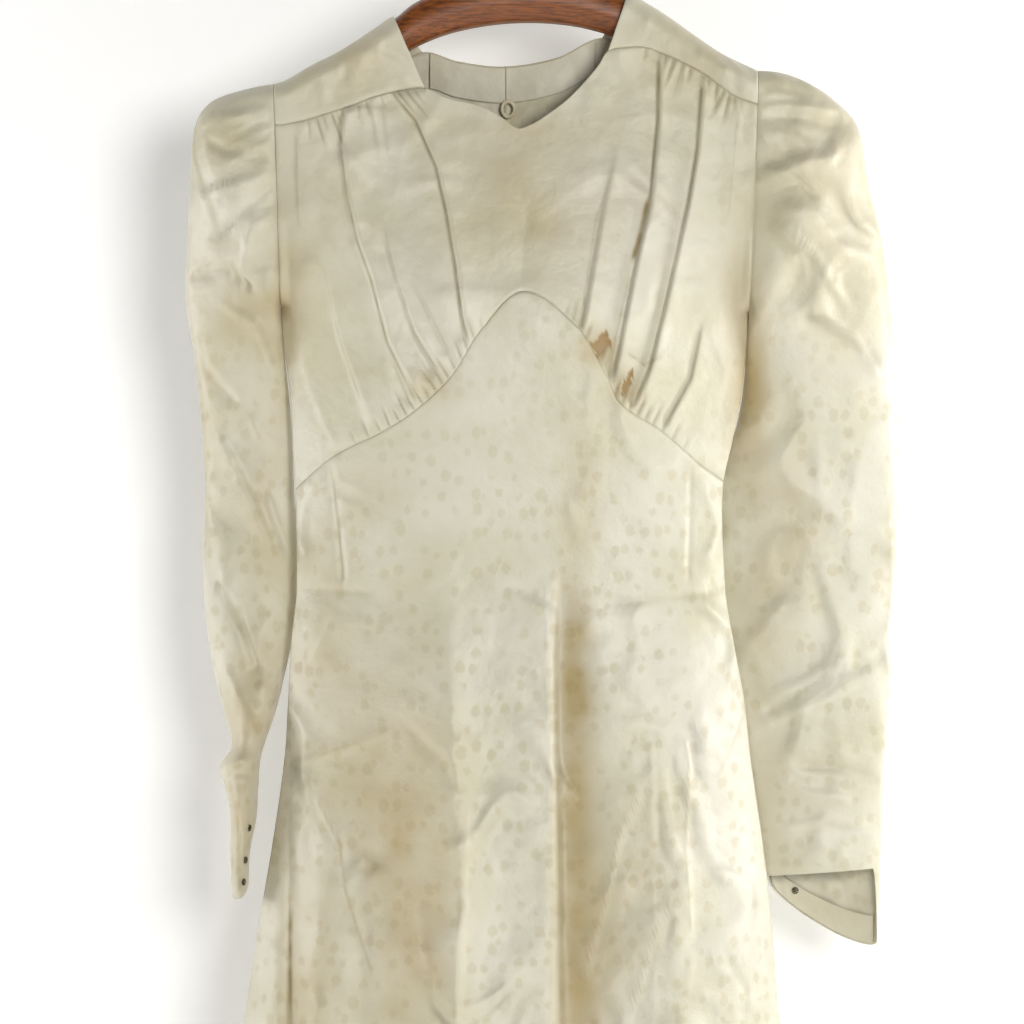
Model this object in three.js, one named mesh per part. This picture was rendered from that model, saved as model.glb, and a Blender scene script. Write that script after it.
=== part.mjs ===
// A long-sleeved satin wedding dress hanging on a contoured wooden hanger, in millimetres.
// The origin is the inside top of the hook, +Z is up, the front of the dress faces -Y, and
// left and right are the viewer's. Every cloth piece is a thin wall through points worked out
// from the tables of sizes below, and pieces meet at their seams with a small gap.
import * as THREE from 'three';

// Driving dimensions
const WALL = 1.5; // thickness of a cloth wall
const SEAM_GAP = 0.4; // space between two pieces at a seam
const LAID_GAP = 0.3; // space under what lies on a panel
const HEM_CENTRE = -1520; // height of the hem at the centre front
const CENTRE_BACK = -9; // the centre back line lies a little to the left, as the neck shows
const BACK_WAIST = -546; // height of the seam between back bodice and back skirt
const ARMHOLE_DEPTH = 23; // half depth of the open armhole
const SHOULDER_ROUND = 14; // depth over which the cloth turns round the hanger's arm
const UNDERARM = { height: 45, clear: 1.2 }; // how the side seam starts clear of the sleeve
const CROWDING = { from: 320, to: 560, share: 0.5 }; // where the columns crowd to the sides
const CLOSING = 60; // height below the underarm over which front and back close to a ring
const SQUARE = 2.4; // how square the open armholes and the swell of the chest are
const STEP = 1e-3; // step of the parameters for slopes

// Colours
const SATIN = '#cfc9b4';
const WOOD = '#a0651e';
const STEEL = '#b9bcc0';
const STUD_METAL = '#5d5a50';

// The closed section of the dress at each height: its left and right edges as seen from the
// front, and how far its front and back stand out at the centre
const SECTIONS = [
  { z: -80, left: -186, right: 186, front: 15, back: 14 },
  { z: -155, left: -185.5, right: 185.5, front: 17, back: 16 },
  { z: -187, left: -184.6, right: 184.6, front: 22, back: 18 },
  { z: -219, left: -183.7, right: 183.7, front: 29, back: 21 },
  { z: -254, left: -182.8, right: 182.6, front: 36, back: 23 },
  { z: -297, left: -181.6, right: 180.8, front: 45, back: 25 },
  { z: -325, left: -180.8, right: 179.4, front: 50, back: 26 },
  { z: -352, left: -179, right: 177.6, front: 50, back: 26 },
  { z: -390, left: -174, right: 174, front: 48, back: 26 },
  { z: -429, left: -171.5, right: 166.5, front: 43, back: 26 },
  { z: -466, left: -169.5, right: 159, front: 39, back: 26 },
  { z: -544, left: -168.5, right: 161, front: 34, back: 25 },
  { z: -583, left: -172.5, right: 167, front: 38, back: 29 },
  { z: -629, left: -175, right: 175.5, front: 45, back: 36 },
  { z: -675, left: -178, right: 180.5, front: 50, back: 42 },
  { z: -745, left: -188, right: 190.5, front: 57, back: 50 },
  { z: -806, left: -198.5, right: 197, front: 62, back: 56 },
  { z: -878, left: -209, right: 203, front: 67, back: 62 },
  { z: -1100, left: -246, right: 232, front: 83, back: 79 },
  { z: -1300, left: -282, right: 266, front: 96, back: 94 },
  { z: -1540, left: -326, right: 310, front: 108, back: 108 },
];

// The shoulder line: the height of the ridge of cloth over the hanger's arms
const SHOULDER = [
  { x: -186, z: -155 },
  { x: -177, z: -152 },
  { x: -158, z: -141 },
  { x: -134, z: -128.5 },
  { x: -107, z: -111 },
  { x: -94, z: -103 },
  { x: 86, z: -86 },
  { x: 100, z: -92.5 },
  { x: 119, z: -104.5 },
  { x: 138, z: -118 },
  { x: 159, z: -132 },
  { x: 186, z: -145 },
];

// Both armholes, from the end of the shoulder down to the underarm
const ARMHOLES = {
  left: { side: -1, top: -155, widest: -235, underarm: -325 },
  right: { side: 1, top: -145, widest: -235, underarm: -330 },
};

// Seam lines and edges as heights over x
const FRONT_TOP = [
  { x: -180, z: -187.5 },
  { x: -162, z: -184 },
  { x: -140, z: -177 },
  { x: -127, z: -173 },
  { x: -108, z: -165.5 },
  { x: -89, z: -161 },
  { x: -70, z: -159 },
  { x: -51, z: -167 },
  { x: -28, z: -172.5 },
  { x: -12, z: -181 },
  { x: 1, z: -190 },
  { x: 11, z: -187.5 },
  { x: 22, z: -181 },
  { x: 42, z: -165.5 },
  { x: 63, z: -142 },
  { x: 70, z: -131 },
  { x: 84, z: -127.7 },
  { x: 100, z: -127.7 },
  { x: 111, z: -132 },
  { x: 127, z: -139 },
  { x: 143, z: -147.5 },
  { x: 159, z: -159.5 },
  { x: 169, z: -166 },
  { x: 185, z: -171.5 },
];
const UNDER_BUST = [
  { x: -170, z: -466.5 },
  { x: -141, z: -442 },
  { x: -101, z: -422 },
  { x: -75, z: -405 },
  { x: -48, z: -379 },
  { x: -28, z: -347 },
  { x: 5, z: -316 },
  { x: 46, z: -342.5 },
  { x: 67, z: -376.5 },
  { x: 78, z: -400 },
  { x: 109, z: -421 },
  { x: 141, z: -447.5 },
  { x: 160, z: -461 },
];
const BACK_TOP = [
  { x: -180, z: -183 },
  { x: -140, z: -165 },
  { x: -105, z: -147 },
  { x: -72, z: -129 },
  { x: -45, z: -136 },
  { x: -9, z: -140 },
  { x: 32, z: -133 },
  { x: 66, z: -118 },
  { x: 105, z: -132 },
  { x: 145, z: -152 },
  { x: 185, z: -171 },
];
const NECK_ENDS = {
  left: { front: -70, ridge: -94, back: -72 },
  right: { front: 70.5, ridge: 86, back: 66.5 },
};

// Folds, gathers, darts and creases of the front, each along a path of [x, z]. rise is how far
// it stands out at its first and last point, negative where it sinks in; left and right are the
// widths of its two flanks; ends is how far it takes to fade in and out.
const FRONT_FOLDS = [
  { rise: [5, 6], left: [6, 5], right: [16, 9], ends: [2, 14],
    path: [[-95, -158], [-75, -182], [-59, -219], [-51, -254], [-44, -295], [-39, -333], [-35, -352]] },
  { rise: [-4, -6], left: [9, 6], right: [6, 5], ends: [2, 14],
    path: [[-103, -160], [-85, -190], [-69, -225], [-61, -258], [-54, -298], [-49, -336], [-45, -362]] },
  { rise: [3, 5], left: [6, 5], right: [10, 6], ends: [2, 12],
    path: [[-110, -166], [-102, -222], [-93, -290], [-75, -346], [-54, -378]] },
  { rise: [6, 7], left: [6, 5], right: [14, 8], ends: [2, 12],
    path: [[-130, -172], [-132, -202], [-127, -241], [-119, -276], [-108, -306], [-96, -353], [-72, -398]] },
  { rise: [-4, -6], left: [9, 6], right: [6, 5], ends: [2, 12],
    path: [[-139, -176], [-141, -204], [-136, -243], [-128, -280], [-117, -312], [-104, -360], [-84, -408]] },
  { rise: [1, 4], left: [6, 5], right: [9, 6], ends: [20, 12],
    path: [[-150, -262], [-142, -308], [-134, -349], [-116, -398], [-108, -420]] },
  { rise: [3, 2], left: [6, 5], right: [9, 10], ends: [2, 30],
    path: [[-165, -184], [-166, -224], [-163, -262]] },
  { rise: [2, 3], left: [6, 5], right: [9, 6], ends: [20, 12],
    path: [[-172, -323], [-160, -384], [-136, -438]] },
  { rise: [-2, -4], left: [6, 5], right: [6, 5], ends: [15, 12],
    path: [[-84, -300], [-67, -332], [-50, -368]] },
  { rise: [4, 5], left: [14, 7], right: [6, 5], ends: [2, 20],
    path: [[110, -128], [109, -183], [103, -247], [90, -300], [74, -380]] },
  { rise: [-4, -5], left: [6, 5], right: [9, 6], ends: [2, 16],
    path: [[119, -137], [118, -186], [112, -250], [99, -305], [84, -398]] },
  { rise: [6, 6], left: [13, 7], right: [6, 5], ends: [2, 12],
    path: [[143, -150], [139, -205], [132, -245], [116, -317], [103, -370], [90, -404]] },
  { rise: [-4, -6], left: [6, 5], right: [9, 6], ends: [2, 12],
    path: [[152, -156], [148, -208], [141, -250], [125, -322], [112, -374], [99, -410]] },
  { rise: [1, 5], left: [10, 6], right: [6, 5], ends: [24, 12],
    path: [[82, -190], [65, -256], [55, -319], [50, -346]] },
  { rise: [-1, -5], left: [6, 5], right: [8, 5], ends: [24, 12],
    path: [[92, -196], [75, -260], [65, -322], [60, -362]] },
  { rise: [3, 4], left: [10, 6], right: [6, 5], ends: [20, 12],
    path: [[142, -330], [132, -381], [112, -418]] },
  { rise: [3, 2], left: [9, 8], right: [6, 5], ends: [2, 26],
    path: [[172, -168], [168, -210], [164, -250]] },
  { rise: [-2, -2], left: [9, 7], right: [9, 7], ends: [30, 20],
    path: [[11, -235], [3, -316]] },
  { rise: [-1.6, -1.6], left: [6, 5], right: [6, 5], ends: [6, 10],
    path: [[-141, -446], [-132, -545]] },
  { rise: [-1.6, -1.6], left: [6, 5], right: [6, 5], ends: [6, 10],
    path: [[134, -452], [132, -542]] },
  { rise: [-2, -2], left: [6, 6], right: [6, 5], ends: [4, 16],
    path: [[-167, -544], [-104, -547]] },
  { rise: [-2, -2], left: [6, 6], right: [6, 5], ends: [16, 4],
    path: [[62, -555], [158, -547]] },
  { rise: [2, 4], left: [10, 12], right: [8, 8], ends: [10, 20],
    path: [[-166, -664], [-130, -660], [-95, -648]] },
  { rise: [-2, -3], left: [6, 6], right: [6, 6], ends: [14, 14],
    path: [[-95, -636], [-55, -672], [-45, -700]] },
  { rise: [-11, -20], left: [6, 12], right: [6, 14], ends: [90, 0],
    path: [[-175, -690], [-173, -783], [-172, -878], [-204, -1100], [-262, -1560]] },
  { rise: [3, 20], left: [14, 26], right: [20, 34], ends: [120, 0],
    path: [[-140, -650], [-148, -760], [-152, -878], [-172, -1100], [-214, -1560]] },
  { rise: [-3, -20], left: [20, 30], right: [24, 40], ends: [160, 0],
    path: [[-104, -560], [-108, -700], [-112, -800], [-116, -878], [-130, -1100], [-168, -1560]] },
  { rise: [6, 24], left: [34, 50], right: [14, 40], ends: [200, 0],
    path: [[-50, -490], [-50, -629], [-47, -706], [-44, -783], [-48, -878], [-56, -1100], [-76, -1560]] },
  { rise: [3, 10], left: [36, 44], right: [6, 14], ends: [60, 0],
    path: [[23, -520], [25, -629], [28, -727], [30, -877], [34, -1100], [44, -1560]] },
  { rise: [-8, -26], left: [6, 16], right: [16, 80], ends: [60, 0],
    path: [[40, -520], [38, -629], [40, -727], [42, -877], [50, -1100], [72, -1560]] },
  { rise: [3, 20], left: [24, 34], right: [26, 36], ends: [140, 0],
    path: [[112, -640], [118, -760], [124, -878], [140, -1100], [180, -1560]] },
  { rise: [-4, -18], left: [14, 24], right: [14, 26], ends: [150, 0],
    path: [[180, -880], [200, -1100], [246, -1560]] },
];

// The same for the back, which the photograph hides: plain, with a few falls of the skirt
const BACK_FOLDS = [
  { rise: [2, 3], left: [8, 8], right: [12, 12], ends: [30, 40],
    path: [[-110, -200], [-100, -330], [-84, -500]] },
  { rise: [2, 3], left: [12, 12], right: [8, 8], ends: [30, 40],
    path: [[104, -190], [92, -330], [74, -500]] },
  { rise: [-1.8, -1.8], left: [4, 4], right: [4, 4], ends: [40, 6],
    path: [[-78, -455], [-72, -640]] },
  { rise: [-1.8, -1.8], left: [4, 4], right: [4, 4], ends: [40, 6],
    path: [[62, -455], [56, -640]] },
  { rise: [3, 24], left: [20, 36], right: [20, 36], ends: [130, 0],
    path: [[-136, -650], [-150, -878], [-176, -1100], [-228, -1560]] },
  { rise: [-3, -24], left: [20, 34], right: [20, 34], ends: [130, 0],
    path: [[-82, -620], [-92, -878], [-108, -1100], [-140, -1560]] },
  { rise: [4, 22], left: [18, 32], right: [14, 26], ends: [120, 0],
    path: [[-36, -600], [-40, -878], [-46, -1100], [-62, -1560]] },
  { rise: [3, 22], left: [16, 28], right: [20, 34], ends: [120, 0],
    path: [[30, -610], [36, -878], [42, -1100], [60, -1560]] },
  { rise: [-3, -24], left: [18, 32], right: [20, 34], ends: [130, 0],
    path: [[78, -620], [88, -878], [104, -1100], [140, -1560]] },
  { rise: [3, 22], left: [18, 34], right: [20, 34], ends: [130, 0],
    path: [[128, -650], [142, -878], [166, -1100], [222, -1560]] },
];

// Each sleeve as rings from the armhole to the wrist: the point on its outer edge, the point on
// its inner edge, the half depth of the ring and how far its middle lies behind the dress's
const SLEEVES = {
  left: {
    hole: ARMHOLES.left,
    rings: [
      { outX: -185.6, outZ: -155, inX: -181, inZ: -325, depth: 23, back: 0 },
      { outX: -212, outZ: -159, inX: -184, inZ: -329, depth: 27, back: 1 },
      { outX: -235, outZ: -169, inX: -186, inZ: -334, depth: 28, back: 2 },
      { outX: -247, outZ: -188, inX: -187, inZ: -343, depth: 28, back: 4 },
      { outX: -251, outZ: -229, inX: -186.5, inZ: -357, depth: 26, back: 8 },
      { outX: -253, outZ: -275, inX: -185, inZ: -378, depth: 24, back: 13 },
      { outX: -255, outZ: -318, inX: -181, inZ: -405, depth: 22, back: 18 },
      { outX: -248, outZ: -365, inX: -176, inZ: -436, depth: 21, back: 22 },
      { outX: -243, outZ: -413, inX: -172, inZ: -467, depth: 20, back: 25 },
      { outX: -240, outZ: -467, inX: -169, inZ: -502, depth: 20, back: 27 },
      { outX: -242, outZ: -521, inX: -168, inZ: -537, depth: 20, back: 28 },
      { outX: -239.5, outZ: -567, inX: -169.5, inZ: -567, depth: 21, back: 28 },
      { outX: -234, outZ: -604, inX: -177, inZ: -600, depth: 24, back: 27 },
      { outX: -225, outZ: -640, inX: -185.5, inZ: -636, depth: 28, back: 25 },
      { outX: -219.5, outZ: -664, inX: -193, inZ: -658, depth: 32, back: 23 },
      { outX: -228, outZ: -680, inX: -198, inZ: -676, depth: 36, back: 20 },
      { outX: -224, outZ: -697, inX: -199.5, inZ: -697, depth: 36, back: 18 },
      { outX: -220, outZ: -717, inX: -201, inZ: -721, depth: 36, back: 18 },
      { outX: -220, outZ: -745, inX: -206, inZ: -745, depth: 36, back: 18 },
      { outX: -219, outZ: -768, inX: -207, inZ: -766, depth: 34, back: 18 },
    ],
    // the cuff is seen edge-on, and its point hangs at the front
    point: { start: -721, drop: 19, at: Math.PI / 2 },
    folds: [
      { rise: [3, 3], left: [4, 4], right: [5, 5], ends: [6, 10],
        path: [[-246, -189], [-226, -181], [-196, -186]] },
      { rise: [-3, -3], left: [5, 5], right: [5, 5], ends: [8, 10],
        path: [[-239, -200], [-226, -206], [-196, -218]] },
      { rise: [3, 3], left: [6, 6], right: [5, 5], ends: [10, 10],
        path: [[-240, -240], [-207, -231], [-188, -222]] },
      { rise: [-4, -4], left: [6, 6], right: [6, 6], ends: [6, 10],
        path: [[-254, -303], [-218, -295], [-200, -315]] },
      { rise: [-3, -3], left: [7, 7], right: [6, 6], ends: [8, 12],
        path: [[-248, -345], [-239, -373], [-211, -403]] },
      { rise: [3, 3], left: [8, 8], right: [8, 8], ends: [14, 14],
        path: [[-232, -420], [-205, -475], [-186, -520]] },
      { rise: [-3, -3], left: [7, 7], right: [7, 7], ends: [8, 10],
        path: [[-236, -530], [-214, -560], [-196, -610]] },
      { rise: [4, 4], left: [5, 5], right: [5, 5], ends: [2, 4],
        path: [[-229, -681], [-213, -675], [-199, -675]] },
    ],
  },
  right: {
    hole: ARMHOLES.right,
    rings: [
      { outX: 185.6, outZ: -145, inX: 178, inZ: -330, depth: 23, back: 0 },
      { outX: 217, outZ: -147, inX: 181, inZ: -334.5, depth: 28, back: 1 },
      { outX: 243, outZ: -166, inX: 183, inZ: -340, depth: 30, back: 2 },
      { outX: 263, outZ: -188, inX: 184, inZ: -349, depth: 30, back: 4 },
      { outX: 271, outZ: -229, inX: 184, inZ: -362, depth: 28, back: 9 },
      { outX: 282, outZ: -275, inX: 181, inZ: -383, depth: 26, back: 15 },
      { outX: 290, outZ: -336, inX: 172, inZ: -413, depth: 24, back: 21 },
      { outX: 294, outZ: -398, inX: 161, inZ: -452, depth: 21, back: 26 },
      { outX: 295.5, outZ: -437, inX: 154, inZ: -490, depth: 19, back: 30 },
      { outX: 295, outZ: -490, inX: 153, inZ: -529, depth: 18, back: 31 },
      { outX: 292.5, outZ: -552, inX: 160, inZ: -575, depth: 17, back: 33 },
      { outX: 290, outZ: -614, inX: 172, inZ: -625, depth: 16, back: 34 },
      { outX: 286.5, outZ: -660, inX: 180, inZ: -666, depth: 15, back: 34 },
      { outX: 284, outZ: -706, inX: 187, inZ: -708, depth: 14, back: 34 },
      { outX: 281.5, outZ: -736, inX: 191, inZ: -738, depth: 14, back: 34 },
      { outX: 280, outZ: -760, inX: 196, inZ: -766, depth: 14, back: 34 },
    ],
    // the front of the cuff ends straight, and its back hangs down to a point
    point: { start: -690, drop: 60, at: -0.45, frontFade: 0.42 },
    folds: [
      { rise: [4, 4], left: [5, 5], right: [5, 5], ends: [4, 6],
        path: [[188, -175], [216, -174], [249, -175], [259, -181]] },
      { rise: [-3, -3], left: [6, 6], right: [5, 5], ends: [8, 10],
        path: [[196, -186], [222, -188], [250, -196]] },
      { rise: [3, 3], left: [8, 8], right: [8, 8], ends: [10, 16],
        path: [[197, -227], [226, -212], [250, -214]] },
      { rise: [-3, -3], left: [9, 9], right: [9, 9], ends: [14, 10],
        path: [[215, -331], [283, -371]] },
      { rise: [2, 3], left: [9, 9], right: [9, 9], ends: [20, 20],
        path: [[200, -453], [262, -500]] },
      { rise: [-3, -3], left: [7, 7], right: [8, 8], ends: [10, 6],
        path: [[190, -640], [240, -612], [288, -593]] },
      { rise: [-3, -3], left: [5, 5], right: [5, 5], ends: [12, 6],
        path: [[211, -680], [248, -682], [284, -694]] },
    ],
  },
};

// The hanger's arms along their length: height of the top, height and half depth of the wood.
// Under the yokes the top follows the shoulder line of the cloth.
const HANGER = [
  { x: -173, top: -151.4, height: 19, depth: 7 },
  { x: -158, top: -142.6, height: 23, depth: 8.5 },
  { x: -134, top: -130, height: 28, depth: 10 },
  { x: -107, top: -112.6, height: 32, depth: 11 },
  { x: -94, top: -104.6, height: 34, depth: 11.3 },
  { x: -78, top: -92, height: 35, depth: 11.6 },
  { x: -45, top: -77.5, height: 37, depth: 12 },
  { x: 0, top: -70, height: 38, depth: 12 },
  { x: 45, top: -73.5, height: 37, depth: 12 },
  { x: 86, top: -87.6, height: 34, depth: 11.4 },
  { x: 100, top: -94.2, height: 33, depth: 11 },
  { x: 119, top: -106.1, height: 31, depth: 10.5 },
  { x: 138, top: -119.6, height: 28, depth: 10 },
  { x: 159, top: -133.6, height: 23, depth: 8.5 },
  { x: 173, top: -140.9, height: 19, depth: 7 },
];
// Section of the arms, in half depths and heights: crowned on top, bevelled under its front
const HANGER_SECTION = [
  [0, 0], [0.5, -0.07], [0.85, -0.21], [1, -0.42], [1, -0.8], [0.8, -0.97],
  [0.2, -1], [-0.35, -0.95], [-1, -0.66], [-1, -0.42], [-0.85, -0.21], [-0.5, -0.07],
];
const HOOK = { wire: 1.7, inside: 20, foot: -69.4 };

// Small pieces
const FACING = { thickness: 0.8, backNeck: 27 };
const LOOP = { x: -6, z: -173, width: 12, height: 15, cord: 1.3 };
const BUTTON = { radius: 5.5, thickness: 4.5, z: -152 };
const STUD = { radius: 2.6, thickness: 1.2 };
const LEFT_STUDS = [{ x: -206, z: -727 }, { x: -209, z: -751 }, { x: -210, z: -768 }];
const RIGHT_STUD = { x: 217, z: -778 };

// How many cells the pieces have across and along. Pieces that meet have the same columns.
const CELLS = {
  yoke: { across: 13, along: 8 },
  neckFront: 18,
  neckBack: 4,
  bodiceFront: 14,
  skirtFront: 15,
  bodiceBack: 6,
  skirtBack: 10,
  sleeve: { round: 16, left: 25, right: 20 },
  facing: 3,
};

// A smooth line through the rows of a table: the value of column value where column key is k
function lookUp(rows, key, value, k) {
  const sign = rows[rows.length - 1][key] > rows[0][key] ? 1 : -1;
  let i = 0;
  while (i < rows.length - 2 && sign * (k - rows[i + 1][key]) > 0) i += 1;
  const slope = (a, b) => (rows[b][value] - rows[a][value]) / (rows[b][key] - rows[a][key]);
  const width = rows[i + 1][key] - rows[i][key];
  const t = THREE.MathUtils.clamp((k - rows[i][key]) / width, 0, 1);
  const startSlope = i > 0 ? slope(i - 1, i + 1) : slope(i, i + 1);
  const endSlope = i < rows.length - 2 ? slope(i, i + 2) : slope(i, i + 1);
  const t2 = t * t;
  const t3 = t2 * t;
  return (
    (2 * t3 - 3 * t2 + 1) * rows[i][value] +
    (t3 - 2 * t2 + t) * width * startSlope +
    (3 * t2 - 2 * t3) * rows[i + 1][value] +
    (t3 - t2) * width * endSlope
  );
}

// The same with straight lines, for seams with corners
function straight(rows, k) {
  let i = 0;
  while (i < rows.length - 2 && k > rows[i + 1].x) i += 1;
  const t = (k - rows[i].x) / (rows[i + 1].x - rows[i].x);
  return THREE.MathUtils.lerp(rows[i].z, rows[i + 1].z, THREE.MathUtils.clamp(t, 0, 1));
}

// How far one fold stands out at (x, z): a bell across its path with unlike flanks
function foldHeight(fold, x, z) {
  const { path } = fold;
  let total = 0;
  let best = { distance: Infinity };
  for (let i = 0; i + 1 < path.length; i += 1) {
    const [ax, az] = path[i];
    const [bx, bz] = path[i + 1];
    const length = Math.hypot(bx - ax, bz - az);
    const [ux, uz] = [(bx - ax) / length, (bz - az) / length];
    const along = THREE.MathUtils.clamp((x - ax) * ux + (z - az) * uz, 0, length);
    const [dx, dz] = [x - ax - ux * along, z - az - uz * along];
    const distance = Math.hypot(dx, dz);
    if (distance < best.distance) {
      best = { distance, at: total + along, side: dx * -uz + dz * ux };
    }
    total += length;
  }
  const share = best.at / total;
  const [near, far] = best.side < 0 ? fold.left : fold.right;
  const flank = THREE.MathUtils.lerp(near, far, share);
  const fadeIn = fold.ends[0] > 0 ? THREE.MathUtils.smoothstep(best.at, 0, fold.ends[0]) : 1;
  const fadeOut = fold.ends[1] > 0 ? THREE.MathUtils.smoothstep(total - best.at, 0, fold.ends[1]) : 1;
  const rise = THREE.MathUtils.lerp(fold.rise[0], fold.rise[1], share);
  return rise * Math.exp(-((best.distance / flank) ** 2)) * fadeIn * fadeOut;
}

function foldSum(folds, x, z) {
  return folds.reduce((sum, fold) => sum + foldHeight(fold, x, z), 0);
}

// Half depth of an open armhole at height z: full at its middle, closing at the underarm
function armholeDepth(hole, z) {
  if (z <= hole.underarm) return 0;
  if (z >= hole.widest) return ARMHOLE_DEPTH;
  const share = (hole.widest - z) / (hole.widest - hole.underarm);
  return ARMHOLE_DEPTH * (1 - share ** SQUARE) ** (1 / SQUARE);
}

// From 0 at the ridge of the shoulder to 1 where the cloth hangs straight
function shoulderTurn(below) {
  const share = THREE.MathUtils.clamp(below / SHOULDER_ROUND, 0, 1);
  return Math.sqrt(1 - (1 - share) ** 2);
}

// A point of the dress: side -1 is the front and 1 the back, u goes from -1 at the left edge to
// 1 at the right edge. Below the underarms front and back close to a ring.
function bodyX(u, z) {
  const left = lookUp(SECTIONS, 'z', 'left', z);
  const right = lookUp(SECTIONS, 'z', 'right', z);
  const crowded = CROWDING.share * THREE.MathUtils.smoothstep(-z, CROWDING.from, CROWDING.to);
  const across = THREE.MathUtils.lerp(u, Math.sin((Math.PI / 2) * u), crowded);
  return (left + right) / 2 + ((right - left) / 2) * across;
}

function bodyPoint(side, u, z, folded = true) {
  const x = bodyX(u, z);
  const hole = u < 0 ? ARMHOLES.left : ARMHOLES.right;
  const closed = THREE.MathUtils.smoothstep(hole.underarm - z, 0, CLOSING);
  const reach = Math.min(Math.abs(u), 1);
  const swell = THREE.MathUtils.lerp(1 - reach ** SQUARE, Math.cos((Math.PI / 2) * reach), closed);
  const edge = armholeDepth(hole, z);
  const depth = lookUp(SECTIONS, 'z', side < 0 ? 'front' : 'back', z);
  const folds = folded ? (side < 0 ? FRONT_FOLDS : BACK_FOLDS) : [];
  const fold = foldSum(folds, x, z) * (1 - reach ** 6);
  const out = edge + (depth - edge) * swell + fold;
  return new THREE.Vector3(x, side * out, z);
}

// Outward direction of the unfolded dress, which the pieces on both sides of a seam share
function seamNormal(side, u, z) {
  const alongU = bodyPoint(side, u + STEP, z, false).sub(bodyPoint(side, u - STEP, z, false));
  const alongZ = bodyPoint(side, u, z + 1, false).sub(bodyPoint(side, u, z - 1, false));
  return alongU.cross(alongZ).normalize().multiplyScalar(-side);
}

// The armhole's edge, where a sleeve and the dress meet, turned round the hanger at its top
function armholePoint(hole, side, z) {
  const x = lookUp(SECTIONS, 'z', hole.side < 0 ? 'left' : 'right', z);
  return new THREE.Vector3(x, side * armholeDepth(hole, z) * shoulderTurn(hole.top - z), z);
}

// Outward direction that both pieces share at an armhole seam, so that their walls line up
function armholeNormal(hole, y, z) {
  const middle = (hole.top + hole.underarm) / 2;
  const half = (hole.top - hole.underarm) / 2;
  const up = ((z - middle) / half) ** 3;
  return new THREE.Vector3(0, (y / ARMHOLE_DEPTH) * 1.2, up).normalize();
}

// A closed wall of cloth through the points of at(u, v), u and v from 0 to 1. The ends in v that
// are seams are drawn in by half the seam gap; out is 1 where u and v turn face outwards.
function clothWall({
  at, cellsU, cellsV, seams = [], out = 1, round = false, normalAt, isHole, thickness = WALL,
}) {
  // how far a parameter moves in for half a gap, measured square to the edge
  const inset = (edge, u, v) => {
    if (!seams.includes(edge)) return 0;
    const step = edge === 'v0' ? STEP : -STEP;
    const edgeLine = at(u + step, v).sub(at(u - step, v)).normalize();
    const move = at(u, v + step).sub(at(u, v));
    move.addScaledVector(edgeLine, -move.dot(edgeLine));
    return (step * SEAM_GAP) / 2 / move.length();
  };
  const columns = round ? cellsU : cellsU + 1;
  const outer = [];
  const inner = [];
  for (let j = 0; j <= cellsV; j += 1) {
    for (let i = 0; i < columns; i += 1) {
      const u = i / cellsU;
      let v = j / cellsV;
      if (j === 0) v += inset('v0', u, v);
      if (j === cellsV) v += inset('v1', u, v);
      const point = at(u, v);
      const alongU = at(u + STEP, v).sub(at(u - STEP, v));
      const alongV = at(u, v + STEP).sub(at(u, v - STEP));
      let normal = alongU.cross(alongV).normalize().multiplyScalar(out);
      if (normalAt) normal = normalAt(i, j, point, normal) ?? normal;
      outer.push(point.clone().addScaledVector(normal, thickness / 2));
      inner.push(point.clone().addScaledVector(normal, -thickness / 2));
    }
  }
  const count = outer.length;
  const number = (i, j) => j * columns + (i % columns);
  const cellThere = (i, j) => {
    const column = round ? (i + cellsU) % cellsU : i;
    if (column < 0 || column >= cellsU || j < 0 || j >= cellsV) return false;
    return !(isHole && isHole(column, j));
  };
  const faces = [];
  const quad = (a, b, c, d) => {
    if (out > 0) faces.push(a, b, c, a, c, d);
    else faces.push(a, c, b, a, d, c);
  };
  for (let j = 0; j < cellsV; j += 1) {
    for (let i = 0; i < cellsU; i += 1) {
      if (!cellThere(i, j)) continue;
      const [a, b] = [number(i, j), number(i + 1, j)];
      const [c, d] = [number(i + 1, j + 1), number(i, j + 1)];
      quad(a, b, c, d);
      quad(count + b, count + a, count + d, count + c);
      if (!cellThere(i, j - 1)) quad(b, a, count + a, count + b);
      if (!cellThere(i, j + 1)) quad(d, c, count + c, count + d);
      if (!cellThere(i - 1, j)) quad(a, d, count + d, count + a);
      if (!cellThere(i + 1, j)) quad(c, b, count + b, count + c);
    }
  }
  const geometry = new THREE.BufferGeometry();
  const flat = [...outer, ...inner].flatMap((p) => [p.x, p.y, p.z]);
  geometry.setAttribute('position', new THREE.Float32BufferAttribute(flat, 3));
  geometry.setIndex(faces);
  return geometry;
}

const dress = new THREE.Group();

function addPiece(name, geometry, color, roughness = 0.42, metalness = 0) {
  const material = new THREE.MeshStandardMaterial({ color, roughness, metalness });
  const mesh = new THREE.Mesh(geometry, material);
  mesh.name = name;
  dress.add(mesh);
}

// The height z at which the column u of the dress meets a line of heights over x
function meets(lineZ, u) {
  let z = lineZ(bodyX(u, -300));
  for (let i = 0; i < 20; i += 1) z = (z + lineZ(bodyX(u, z))) / 2;
  return z;
}

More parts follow.
